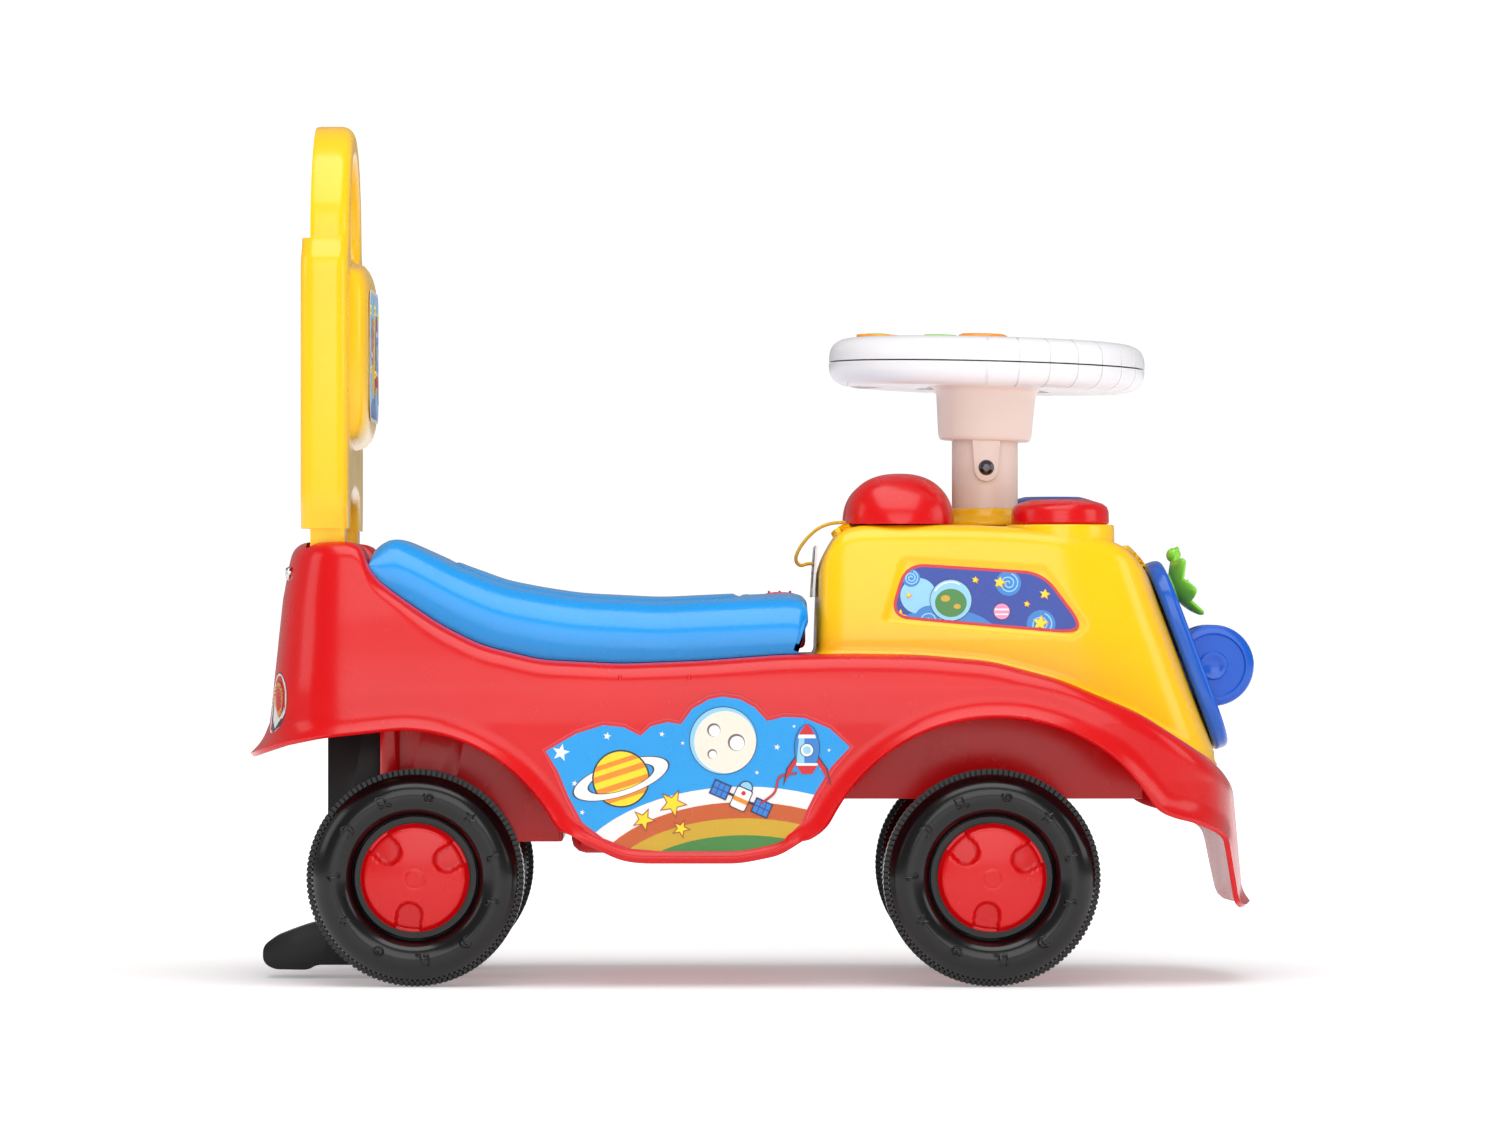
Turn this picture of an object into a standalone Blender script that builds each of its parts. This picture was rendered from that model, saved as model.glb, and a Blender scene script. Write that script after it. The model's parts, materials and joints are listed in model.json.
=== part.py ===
"""Toddler's foot-to-floor ride-on car, as an assembly of moulded shells, axles and moving toys.

Frame: +X forwards, +Y to the car's left, +Z up, origin on the ground under the middle of the car.
All lengths are in metres.
"""
import math

import bmesh
import bpy
from mathutils import Matrix, Vector

# ---- driving dimensions ------------------------------------------------------------------------
GAP = 0.0003                 # clearance between neighbouring pieces
WALL = 0.003                 # wall of the moulded shells

WHEEL_RADIUS = 0.060
WHEEL_MID_Y = 0.095          # middle of each tyre from the car's centre plane
TYRE_HALF = 0.018
TYRE_SEGMENTS = 28           # the tread stands on flats, so the car rests without rocking
AXLE_RADIUS = 0.004
AXLE_HALF_LENGTH = 0.106
REAR_AXLE_X = -0.1883
STEER_X = 0.130              # steering column, straight above the front axle

BODY_HALF_WIDTH = 0.118
BODY_REAR_X = -0.2805
BODY_FRONT_X = 0.2764
SOCKET_TOP_Z = 0.2457
ARCH_CENTRE_Z = 0.0464
FRONT_ARCH_X = 0.1325
FRONT_ARCH_RADIUS = 0.104
REAR_ARCH_X = -0.196
REAR_ARCH_RADIUS = 0.097
SILL_Z = 0.0683
LEG_Y = 0.065                # backrest legs and their sockets

SEAT_HALF_WIDTH = 0.088
SEAT_CROWN = 0.005
SEAT_HINGE_X = -0.2075
SEAT_HINGE_Z = 0.2375

BONNET_TOP_Z = 0.2554
BONNET_HALF_WIDTH = 0.086

RIM_RADIUS = 0.0894
RIM_X = 0.131
RIM_LOW_Z = 0.3335
RIM_SPLIT_Z = 0.3472
RIM_TOP_Z = 0.3615
RIM_TILT = math.radians(1.3)
COLUMN_RADIUS = 0.0185
STEM_RADIUS = 0.012
COLUMN_LOW_Z = 0.2639
SCREW_Z = 0.288

PLATE_LEAN = math.radians(20.5)
PLATE_THICK = 0.0096
PLATE_LENGTH = 0.112
PLATE_WIDTH = 0.100
SPINNER_UP = 0.0375          # star centre, up the plate from its middle
ROLLER_X = 0.2576
ROLLER_Z = 0.1765
ROLLER_RADIUS = 0.0229

KNOB_X = 0.1704
KNOB_Y = 0.045
KNOB_RADIUS = 0.0274

HANDSET_X = 0.0805
HANDSET_CUP_Y = 0.048
CORD_RADIUS = 0.001

COLOURS = {
    "red_plastic": ((0.62, 0.005, 0.012), 0.25, 0.0),
    "yellow_plastic": ((0.95, 0.60, 0.01), 0.28, 0.0),
    "sky_blue_plastic": ((0.02, 0.30, 0.78), 0.25, 0.0),
    "deep_blue_plastic": ((0.005, 0.09, 0.55), 0.25, 0.0),
    "white_plastic": ((0.86, 0.86, 0.87), 0.25, 0.0),
    "cream_plastic": ((0.85, 0.68, 0.58), 0.30, 0.0),
    "green_plastic": ((0.20, 0.62, 0.05), 0.25, 0.0),
    "orange_plastic": ((0.95, 0.45, 0.03), 0.25, 0.0),
    "black_plastic": ((0.012, 0.012, 0.013), 0.30, 0.0),
    "steel": ((0.60, 0.60, 0.62), 0.30, 1.0),
    "circuit_green": ((0.02, 0.20, 0.08), 0.40, 0.0),
    "battery_wrap": ((0.10, 0.10, 0.11), 0.35, 0.0),
    "cord_yellow": ((0.80, 0.50, 0.05), 0.60, 0.0),
}


# ---- helpers -----------------------------------------------------------------------------------
def clear_scene():
    for old in list(bpy.data.objects):
        bpy.data.objects.remove(old, do_unlink=True)


def make_material(name):
    colour, roughness, metallic = COLOURS[name]
    material = bpy.data.materials.get(name) or bpy.data.materials.new(name)
    material.use_nodes = True
    shader = material.node_tree.nodes["Principled BSDF"]
    shader.inputs["Base Color"].default_value = (*colour, 1.0)
    shader.inputs["Roughness"].default_value = roughness
    shader.inputs["Metallic"].default_value = metallic
    return material


def pivot(name, place, parent=None):
    """An empty on a joint's axis; moving pieces hang from it."""
    empty = bpy.data.objects.new(name, None)
    bpy.context.scene.collection.objects.link(empty)
    empty.parent = parent
    empty.location = Vector(place) - (world_place(parent) if parent else Vector())
    return empty


def world_place(thing):
    place = Vector()
    while thing:
        place += thing.location
        thing = thing.parent
    return place


def add_piece(name, shape, material, parent=None):
    """Link a bmesh whose points are in car coordinates, with its origin at its pivot."""
    origin = world_place(parent)
    bmesh.ops.translate(shape, verts=shape.verts, vec=-origin)
    bmesh.ops.recalc_face_normals(shape, faces=shape.faces)
    mesh = bpy.data.meshes.new(name)
    shape.to_mesh(mesh)
    shape.free()
    piece = bpy.data.objects.new(name, mesh)
    piece.parent = parent
    bpy.context.scene.collection.objects.link(piece)
    if material:
        mesh.materials.append(make_material(material))
        mesh.shade_smooth()
        mesh.set_sharp_from_angle(angle=math.radians(35))
    return piece


def combine(target, name, shape, operation):
    """Boolean a bmesh into a target piece, keeping the tool as a hidden guide."""
    tool = add_piece(name, shape, None, target.parent)
    tool.hide_render = True
    tool.display_type = "WIRE"
    modifier = target.modifiers.new(name, "BOOLEAN")
    modifier.operation = operation
    modifier.solver = "EXACT"
    modifier.object = tool


def prism(outline, axis, low, high):
    """A closed outline pushed along one axis: (x, z) along Y, (y, z) along X, (x, y) along Z."""
    place = {
        "X": lambda a, b, level: (level, a, b),
        "Y": lambda a, b, level: (a, level, b),
        "Z": lambda a, b, level: (a, b, level),
    }[axis]
    shape = bmesh.new()
    rings = [[shape.verts.new(place(a, b, level)) for a, b in outline] for level in (low, high)]
    shape.faces.new(rings[0])
    shape.faces.new(rings[1])
    bridge_rings(shape, rings[0], rings[1])
    return shape


def bridge_rings(shape, first, second):
    count = len(first)
    for i in range(count):
        j = (i + 1) % count
        shape.faces.new((first[i], first[j], second[j], second[i]))


def block(low, high):
    (x0, y0, z0), (x1, y1, z1) = low, high
    return prism([(x0, y0), (x1, y0), (x1, y1), (x0, y1)], "Z", z0, z1)


def loft(rings):
    """A closed solid through rings of equal point counts."""
    shape = bmesh.new()
    drawn = [[shape.verts.new(point) for point in ring] for ring in rings]
    shape.faces.new(drawn[0])
    shape.faces.new(drawn[-1])
    for first, second in zip(drawn, drawn[1:]):
        bridge_rings(shape, first, second)
    return shape


def turned(profile, segments, centre, axis="Z", hollow=False, phase=0.0):
    """A profile of (radius, height) turned about an axis through centre.

    A solid profile starts and ends on the axis; a hollow one is a closed loop clear of it. The phase
    turns the facets by that part of one segment.
    """
    turn = {
        "X": Matrix.Rotation(math.radians(90), 4, "Y"),
        "Y": Matrix.Rotation(math.radians(-90), 4, "X"),
        "Z": Matrix.Identity(4),
    }[axis]
    place = Matrix.Translation(centre) @ turn
    shape = bmesh.new()
    rings = []
    for radius, height in profile:
        if radius == 0.0:
            rings.append([shape.verts.new(place @ Vector((0, 0, height)))])
            continue
        angles = [2 * math.pi * (i + phase) / segments for i in range(segments)]
        points = [Vector((radius * math.cos(a), radius * math.sin(a), height)) for a in angles]
        rings.append([shape.verts.new(place @ point) for point in points])
    pairs = list(zip(rings, rings[1:]))
    if hollow:
        pairs.append((rings[-1], rings[0]))
    for first, second in pairs:
        if len(first) == 1 and len(second) == 1:
            continue
        if len(first) == 1 or len(second) == 1:
            pole, ring = (first[0], second) if len(first) == 1 else (second[0], first)
            for i in range(segments):
                shape.faces.new((pole, ring[i], ring[(i + 1) % segments]))
        else:
            bridge_rings(shape, first, second)
    return shape


def rod(radius, low, high, segments, centre, axis="Z"):
    return turned([(0.0, low), (radius, low), (radius, high), (0.0, high)], segments, centre, axis)


def ring(inner, outer, low, high, segments, centre, axis="Z"):
    loop = [(inner, low), (outer, low), (outer, high), (inner, high)]
    return turned(loop, segments, centre, axis, hollow=True)


def arc(centre, radius, start, end, steps):
    """Points on an arc, angles in degrees."""
    points = []
    for i in range(steps + 1):
        angle = math.radians(start + (end - start) * i / steps)
        points.append((centre[0] + radius * math.cos(angle), centre[1] + radius * math.sin(angle)))
    return points


def rounded_rectangle(x0, y0, x1, y1, radius, steps):
    corners = [(x1 - radius, y1 - radius, 0), (x0 + radius, y1 - radius, 90),
               (x0 + radius, y0 + radius, 180), (x1 - radius, y0 + radius, 270)]
    points = []
    for x, y, start in corners:
        points += arc((x, y), radius, start, start + 90, steps)
    return points


def inset(outline, distance):
    """Shift every edge of a closed outline inwards."""
    area = sum(a[0] * b[1] - b[0] * a[1] for a, b in zip(outline, outline[1:] + outline[:1]))
    side = 1.0 if area > 0 else -1.0
    result = []
    count = len(outline)
    for i in range(count):
        before, here, after = (Vector(outline[(i + k) % count]) for k in (-1, 0, 1))
        first = (here - before).normalized()
        second = (after - here).normalized()
        normal_a = Vector((-first.y, first.x)) * side
        normal_b = Vector((-second.y, second.x)) * side
        blend = (normal_a + normal_b).normalized()
        reach = distance / max(0.35, blend.dot(normal_a))
        result.append(tuple(here + blend * reach))
    return result


def height_on(line, x):
    """Height of an open polyline at x."""
    for (x0, z0), (x1, z1) in zip(line, line[1:]):
        if x0 <= x <= x1:
            return z0 + (z1 - z0) * (x - x0) / (x1 - x0)
    return line[0][1] if x < line[0][0] else line[-1][1]


# ---- outlines shared between pieces --------------------------------------------------------------
# top edge of the body from the rear sockets to the nose
DECK = [(-0.2195, SOCKET_TOP_Z), (-0.2129, 0.2270), (-0.1964, 0.2143), (-0.1744, 0.1995),
        (-0.1523, 0.1884), (-0.1193, 0.1802), (-0.0752, 0.1780), (-0.0311, 0.1796), (0.0130, 0.1829),
        (0.0500, 0.1838), (0.0900, 0.1832), (0.1300, 0.1796), (0.1672, 0.1697), (0.2113, 0.1510),
        (0.2554, 0.1229), (0.2701, 0.1130)]


def body_side_outline():
    nose = [(BODY_FRONT_X, 0.0430), (0.2655, 0.0430), (0.2609, 0.0838), (0.2444, 0.0920),
            (0.2333, 0.0943)]
    front_arch = arc((FRONT_ARCH_X, ARCH_CENTRE_Z), FRONT_ARCH_RADIUS, 30, 156, 14)
    sill = [(0.0240, 0.0799), (0.0130, 0.0727), (-0.0090, SILL_Z), (-0.0642, SILL_Z), (-0.0752, 0.0700),
            (-0.0972, 0.0804)]
    rear_arch = arc((REAR_ARCH_X, ARCH_CENTRE_Z), REAR_ARCH_RADIUS, 26, 90, 8)
    tail = [(-0.2405, 0.1388), (-0.2625, 0.1344), (BODY_REAR_X, 0.1272), (-0.2730, 0.1450),
            (-0.2660, 0.2134), (-0.2600, SOCKET_TOP_Z)]
    return DECK + nose + front_arch + sill + rear_arch + tail


def body_section_outline(shrink):
    half = [(BODY_HALF_WIDTH, -0.05), (BODY_HALF_WIDTH, 0.145), (0.1165, 0.165), (0.1120, 0.181),
            (0.1040, 0.206), (0.0930, 0.262)]
    return [(y - shrink, z) for y, z in half] + [(shrink - y, z) for y, z in reversed(half)]


def body_plan_outline():
    half = [(BODY_REAR_X, 0.0), (-0.2795, 0.055), (-0.2740, 0.085), (-0.2620, 0.105), (-0.2420, 0.119),
            (0.2020, 0.119), (0.2350, 0.111), (0.2580, 0.093), (0.2700, 0.055), (BODY_FRONT_X, 0.0)]
    return half + [(x, -y) for x, y in reversed(half[1:-1])]


# ---- chassis ------------------------------------------------------------------------------------
TUB_X = (-0.100, -0.012)     # storage tub under the seat, inside faces
TUB_HALF_WIDTH = 0.060
TUB_FLOOR_Z = 0.0750
RIB_Y = 0.0450               # middle of the walls beside the wheels
CATCH_X = 0.0136


def make_body():
    body = add_piece("body_shell", prism(body_side_outline(), "Y", -0.13, 0.13), "red_plastic")
    combine(body, "body_section", prism(body_section_outline(0.0), "X", -0.30, 0.30), "INTERSECT")
    combine(body, "body_plan", prism(body_plan_outline(), "Z", 0.0, 0.30), "INTERSECT")

    # hollow underside: deck, side, nose and tail walls are left standing
    under_deck = [(x, z - WALL) for x, z in DECK[1:-1]]
    cavity = [(-0.2570, SOCKET_TOP_Z - WALL), (-0.2225, SOCKET_TOP_Z - WALL), (-0.2160, 0.2235)]
    cavity += under_deck[1:] + [(0.2671, 0.1080), (0.2734, 0.0300), (0.2734, -0.01), (-0.2775, -0.01),
                                (-0.2775, 0.1250), (-0.2698, 0.1450), (-0.2630, 0.2134)]
    section = prism(body_section_outline(WALL), "X", -0.30, 0.30)
    plan = prism(inset(body_plan_outline(), WALL), "Z", -0.02, 0.30)
    hollow = add_piece("body_cavity", prism(cavity, "Y", -0.14, 0.14), None)
    combine(hollow, "cavity_section", section, "INTERSECT")
    combine(hollow, "cavity_plan", plan, "INTERSECT")
    hollow.hide_render = True
    hollow.display_type = "WIRE"
    modifier = body.modifiers.new("body_cavity", "BOOLEAN")
    modifier.operation = "DIFFERENCE"
    modifier.object = hollow

    # storage tub, moulded into the deck
    x0, x1 = TUB_X
    tub = [(x0 - WALL, TUB_FLOOR_Z - WALL), (x1 + WALL, TUB_FLOOR_Z - WALL),
           (x1 + WALL, height_on(DECK, x1) - 0.001), (-0.0752, height_on(DECK, -0.0752) - 0.0015),
           (x0 - WALL, height_on(DECK, x0) - 0.001)]
    combine(body, "tub_outside", prism(tub, "Y", -TUB_HALF_WIDTH - WALL, TUB_HALF_WIDTH + WALL), "UNION")
    combine(body, "tub_inside", block((x0, -TUB_HALF_WIDTH, TUB_FLOOR_Z), (x1, TUB_HALF_WIDTH, 0.20)),
            "DIFFERENCE")

    add_wheel_walls(body)
    add_leg_sockets(body)
    add_hinge_lugs(body)
    combine(body, "column_hole", rod(0.0158, 0.14, 0.20, 24, (STEER_X, 0, 0)), "DIFFERENCE")
    combine(body, "catch_hole", rod(0.0045, 0.16, 0.20, 12, (CATCH_X, 0, 0)), "DIFFERENCE")
    return body


def add_wheel_walls(body):
    """Walls between the wheels: the rear pair carries the axle, the front pair clears the steering."""
    rear_top = [(x, height_on(DECK, x) - 0.0015) for x in (-0.110, -0.1523, -0.1744, -0.2075)]
    lobe = arc((REAR_AXLE_X, WHEEL_RADIUS), 0.013, 180, 360, 8)
    rear = [(-0.2075, 0.078)] + [(REAR_AXLE_X - 0.013, 0.078)] + lobe + [(REAR_AXLE_X + 0.013, 0.078),
                                                                        (-0.110, 0.078)] + rear_top
    front_top = [(x, height_on(DECK, x) - 0.0015) for x in (0.215, 0.1672, 0.130, 0.090, 0.040)]
    front = [(0.040, 0.102), (0.215, 0.102)] + front_top
    half = WALL / 2
    for side in (-1, 1):
        word = "left" if side > 0 else "right"
        low, high = sorted((side * (RIB_Y - half), side * (RIB_Y + half)))
        combine(body, f"rear_wall_{word}", prism(rear, "Y", low, high), "UNION")
        combine(body, f"front_wall_{word}", prism(front, "Y", low, high), "UNION")
    reach = RIB_Y
    combine(body, "rear_cross_wall", block((-0.2090, -reach, 0.078), (-0.2060, reach, 0.2215)), "UNION")
    combine(body, "tub_cross_wall", block((-0.1115, -reach, 0.078), (-0.1085, reach, 0.1780)), "UNION")
    combine(body, "nose_cross_wall", block((0.2135, -reach, 0.102), (0.2165, reach, 0.1480)), "UNION")
    combine(body, "axle_hole", rod(0.0065, -0.06, 0.06, 16, (REAR_AXLE_X, 0, WHEEL_RADIUS), "Y"),
            "DIFFERENCE")


def add_leg_sockets(body):
    """Box sockets for the backrest legs, with the low saddle between them."""
    for side in (-1, 1):
        word = "left" if side > 0 else "right"
        y = side * LEG_Y
        combine(body, f"socket_{word}", block((-0.2508, y - 0.0195, 0.2120), (-0.2252, y + 0.0195, 0.2440)),
                "UNION")
        combine(body, f"socket_bore_{word}",
                block((-0.2478, y - 0.0165, 0.2000), (-0.2282, y + 0.0165, 0.2600)), "DIFFERENCE")
        combine(body, f"socket_screw_{word}", rod(0.0023, -0.28, -0.24, 12, (0, y, 0.228), "X"),
                "DIFFERENCE")


def add_hinge_lugs(body):
    for side in (-1, 1):
        word = "left" if side > 0 else "right"
        low, high = sorted((side * 0.030, side * 0.036))
        top = arc((SEAT_HINGE_X, SEAT_HINGE_Z), 0.0036, 0, 180, 6)
        lug = [(SEAT_HINGE_X + 0.0036, 0.2190)] + top + [(SEAT_HINGE_X - 0.0036, 0.2215)]
        combine(body, f"hinge_lug_{word}", prism(lug, "Y", low, high), "UNION")
    pin_hole = rod(0.0021, -0.05, 0.05, 12, (SEAT_HINGE_X, 0, SEAT_HINGE_Z), "Y")
    combine(body, "lug_hole", pin_hole, "DIFFERENCE")


def bonnet_outline():
    top = [(0.0350, 0.2350), (0.0395, 0.2440), (0.0470, 0.2520), (0.0570, 0.2548), (0.0811, BONNET_TOP_Z),
           (0.1410, BONNET_TOP_Z), (0.1960, 0.2535), (0.1970, 0.2470), (0.2100, 0.2415),
           (0.2184, 0.2327), (0.2578, 0.1275)]
    deck = [(x, z + GAP) for x, z in reversed(DECK) if 0.0332 < x < 0.2570]
    return [(0.0332, 0.1838)] + top + deck


def make_bonnet():
    outline = bonnet_outline()
    section_half = [(BONNET_HALF_WIDTH, 0.10), (BONNET_HALF_WIDTH, 0.195), (0.083, 0.225), (0.078, 0.245),
                    (0.068, 0.2555), (0.060, 0.27)]
    section = section_half + [(-y, z) for y, z in reversed(section_half)]
    bonnet = add_piece("bonnet", prism(outline, "Y", -0.10, 0.10), "yellow_plastic")
    combine(bonnet, "bonnet_section", prism(section, "X", 0.0, 0.30), "INTERSECT")

    inner = [(0.0364, 0.10), (0.0380, 0.2330), (0.0425, 0.2425), (0.0485, 0.2488), (0.0575, 0.2518),
             (0.0811, BONNET_TOP_Z - WALL), (0.1410, BONNET_TOP_Z - WALL), (0.1930, 0.2500),
             (0.1960, 0.2440), (0.2085, 0.2388), (0.2156, 0.2316), (0.2640, 0.10)]
    hollow = add_piece("bonnet_cavity", prism(inner, "Y", -0.12, 0.12), None)
    inner_section = [(abs(y) - WALL, z) for y, z in section_half]
    inner_section = inner_section + [(-y, z) for y, z in reversed(inner_section)]
    combine(hollow, "bonnet_cavity_section", prism(inner_section, "X", 0.0, 0.30), "INTERSECT")
    hollow.hide_render = True
    hollow.display_type = "WIRE"
    modifier = bonnet.modifiers.new("bonnet_cavity", "BOOLEAN")
    modifier.operation = "DIFFERENCE"
    modifier.object = hollow
    combine(bonnet, "bonnet_column_hole", rod(0.0128, 0.24, 0.27, 24, (STEER_X, 0, 0)), "DIFFERENCE")
    for side in (-1, 1):
        word = "left" if side > 0 else "right"
        combine(bonnet, f"knob_hole_{word}", rod(0.0046, 0.24, 0.27, 12, (KNOB_X, side * KNOB_Y, 0)),
                "DIFFERENCE")
    opening = block((0.222, -0.034, ROLLER_Z - 0.0265), (0.262, 0.034, ROLLER_Z + 0.0265))
    combine(bonnet, "roller_opening", opening, "DIFFERENCE")
    head_room = rod(0.0055, -0.02, 0.01, 12, (0, 0, 0))
    bmesh.ops.transform(head_room, matrix=plate_frame() @ Matrix.Translation((SPINNER_UP, 0, 0)),
                        verts=head_room.verts)
    combine(bonnet, "pin_opening", head_room, "DIFFERENCE")


def make_dash():
    lean = math.radians(4.0)
    shape = block((-0.0006, -0.058, -0.0145), (0.0006, 0.058, 0.0145))
    place = Matrix.Translation((0.0331, 0, 0.2295)) @ Matrix.Rotation(lean, 4, "Y")
    bmesh.ops.transform(shape, matrix=place, verts=shape.verts)
    dash = add_piece("dash_panel", shape, "white_plastic")
    combine(dash, "cord_hole", rod(0.0022, 0.02, 0.045, 10, (0, 0.004, 0.2325), "X"), "DIFFERENCE")


def backrest_outline():
    """Front view of the handle: two legs, a wide panel and an arched loop."""
    arch = arc((0.0, 0.4115), 0.0700, 0, 180, 12)
    outer_edge = [(0.0812, 0.2200), (0.0812, 0.2540), (0.0850, 0.2640), (0.0850, 0.4000), (0.0790, 0.4120)]
    inner_edge = [(0.0490, 0.2200), (0.0490, 0.2560), (0.0400, 0.2660), (0.0, 0.2700)]
    far_outer = [(-y, z) for y, z in reversed(outer_edge)]
    far_inner = [(-y, z) for y, z in inner_edge[:-1]]
    return outer_edge + arch[1:-1] + far_outer + far_inner + inner_edge[::-1]


def make_backrest():
    backrest = add_piece("backrest", prism(backrest_outline(), "X", -0.2530, -0.2266), "yellow_plastic")
    soften(backrest, 0.006)
    window = arc((0.0, 0.4150), 0.0480, 0, 180, 10) + [(-0.0400, 0.4080), (0.0400, 0.4080)]
    combine(backrest, "handle_window", prism(window, "X", -0.27, -0.21), "DIFFERENCE")
    cavity = block((-0.2498, -0.0800, 0.2760), (-0.2298, 0.0800, 0.3990))
    combine(backrest, "panel_cavity", cavity, "DIFFERENCE")
    thin_loop = block((-0.2700, -0.10, 0.4150), (-0.2482, 0.10, 0.50))
    combine(backrest, "loop_thinner", thin_loop, "DIFFERENCE")
    for side in (-1, 1):
        word = "left" if side > 0 else "right"
        y = side * LEG_Y
        for part, x0, x1 in (("back", -0.2600, -0.2475), ("front", -0.2285, -0.2200)):
            combine(backrest, f"leg_{part}_{word}", block((x0, y - 0.02, 0.21), (x1, y + 0.02, 0.2530)),
                    "DIFFERENCE")
        combine(backrest, f"leg_bore_{word}",
                block((-0.2450, y - 0.0135, 0.21), (-0.2310, y + 0.0135, 0.2800)), "DIFFERENCE")
        combine(backrest, f"leg_screw_{word}", rod(0.0023, -0.26, -0.24, 12, (0, y, 0.228), "X"),
                "DIFFERENCE")


def soften(piece, width):
    bevel = piece.modifiers.new("soft_edges", "BEVEL")
    bevel.width = width
    bevel.segments = 2
    bevel.limit_method = "ANGLE"
    bevel.angle_limit = math.radians(50)


def make_strut():
    outline = [(-0.2101, 0.1900), (-0.2413, 0.1900), (-0.2413, 0.0330), (-0.2560, 0.0290), (-0.2720, 0.0230),
               (-0.2780, 0.0180), (-0.2780, 0.0090), (-0.2720, 0.0050), (-0.2520, 0.0047),
               (-0.2480, 0.0075), (-0.2150, 0.0075), (-0.2101, 0.0120)]
    strut = add_piece("anti_tip_strut", prism(outline, "Y", -0.019, 0.019), "black_plastic")
    combine(strut, "strut_pocket", block((-0.2385, -0.0165, 0.0300), (-0.2050, 0.0165, 0.1350)),
            "DIFFERENCE")
    for level, word in ((0.150, "low"), (0.178, "high")):
        combine(strut, f"strut_hole_{word}", rod(0.0023, -0.25, -0.20, 12, (0, 0, level), "X"),
                "DIFFERENCE")


def make_fixings():
    """Screws, pins, bushes and axles that stay with the chassis."""
    axle = rod(AXLE_RADIUS, -AXLE_HALF_LENGTH, AXLE_HALF_LENGTH, 16, (REAR_AXLE_X, 0, WHEEL_RADIUS), "Y")
    add_piece("rear_axle", axle, "steel")
    pin = rod(0.0018, -0.052, 0.052, 12, (SEAT_HINGE_X, 0, SEAT_HINGE_Z), "Y")
    add_piece("seat_hinge_pin", pin, "steel")
    bush = ring(STEM_RADIUS + GAP, 0.0155, 0.1680, 0.1860, 24, (STEER_X, 0, 0))
    add_piece("lower_column_bush", bush, "black_plastic")
    collar = ring(STEM_RADIUS + GAP, COLUMN_RADIUS, BONNET_TOP_Z + GAP, COLUMN_LOW_Z - GAP, 24,
                  (STEER_X, 0, 0))
    add_piece("column_collar", collar, "yellow_plastic")
    for side in (-1, 1):
        word = "left" if side > 0 else "right"
        add_piece(f"rear_bush_{word}", spacer(side, REAR_AXLE_X, RIB_Y - 0.003), "black_plastic")
        add_piece(f"backrest_screw_{word}", screw(-0.2645, -0.2445, (0, side * LEG_Y, 0.228)), "steel")
    for level, word in ((0.150, "low"), (0.178, "high")):
        add_piece(f"strut_screw_{word}", screw(-0.2416, -0.2130, (0, 0, level)), "steel")


def spacer(side, x, start):
    """Axle bush: a sleeve in the wall and a collar that keeps the wheel off it."""
    loop = [(AXLE_RADIUS + GAP, start), (0.0062, start), (0.0062, 0.0468), (0.0090, 0.0468),
            (0.0090, 0.0765), (AXLE_RADIUS + GAP, 0.0765)]
    loop = [(radius, side * height) for radius, height in loop]
    return turned(loop, 16, (x, 0, WHEEL_RADIUS), "Y", hollow=True)


def screw(head_x, tip_x, place):
    """A pan-head screw along X with its head at the rear."""
    profile = [(0.0, head_x - 0.0024), (0.0030, head_x - 0.0020), (0.0040, head_x), (0.0018, head_x),
               (0.0018, tip_x), (0.0, tip_x)]
    return turned(profile, 12, place, "X")


# ---- front toys ------------------------------------------------------------------------------------
def plate_frame():
    """Plate coordinates to car coordinates: local Z is the plate's outward normal, local X is up it."""
    foot = Vector((0.2380, 0.0, 0.1803))
    normal = Vector((math.cos(PLATE_LEAN), 0, math.sin(PLATE_LEAN)))
    upward = Vector((-math.sin(PLATE_LEAN), 0, math.cos(PLATE_LEAN)))
    side = normal.cross(upward)
    turn = Matrix((upward, side, normal)).transposed().to_4x4()
    return Matrix.Translation(foot + normal * (GAP + 0.0004)) @ turn


def make_front_plate():
    half_l, half_w = PLATE_LENGTH / 2, PLATE_WIDTH / 2
    shape = prism(rounded_rectangle(-half_l, -half_w, half_l, half_w, 0.036, 6), "Z", 0.0, PLATE_THICK)
    bmesh.ops.transform(shape, matrix=plate_frame(), verts=shape.verts)
    plate = add_piece("front_plate", shape, "deep_blue_plastic")
    soften(plate, 0.003)
    for side in (-1, 1):
        word = "left" if side > 0 else "right"
        low, high = sorted((side * 0.0042, side * 0.0315))
        pocket = block((0.21, low, ROLLER_Z - 0.0245), (0.30, high, ROLLER_Z + 0.0245))
        combine(plate, f"roller_pocket_{word}", pocket, "DIFFERENCE")
    ear = arc((ROLLER_X, ROLLER_Z), 0.0062, -90, 90, 6)
    ear = [(0.2460, ROLLER_Z - 0.0062)] + ear + [(0.2460, ROLLER_Z + 0.0062)]
    combine(plate, "roller_ear", prism(ear, "Y", -0.0035, 0.0035), "UNION")
    combine(plate, "ear_hole", rod(0.0028, -0.02, 0.02, 12, (ROLLER_X, 0, ROLLER_Z), "Y"), "DIFFERENCE")
    pin_hole = rod(0.0023, -0.02, 0.03, 12, (0, 0, 0))
    bmesh.ops.transform(pin_hole, matrix=plate_frame() @ Matrix.Translation((SPINNER_UP, 0, 0)),
                        verts=pin_hole.verts)
    combine(plate, "pin_hole", pin_hole, "DIFFERENCE")




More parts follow.
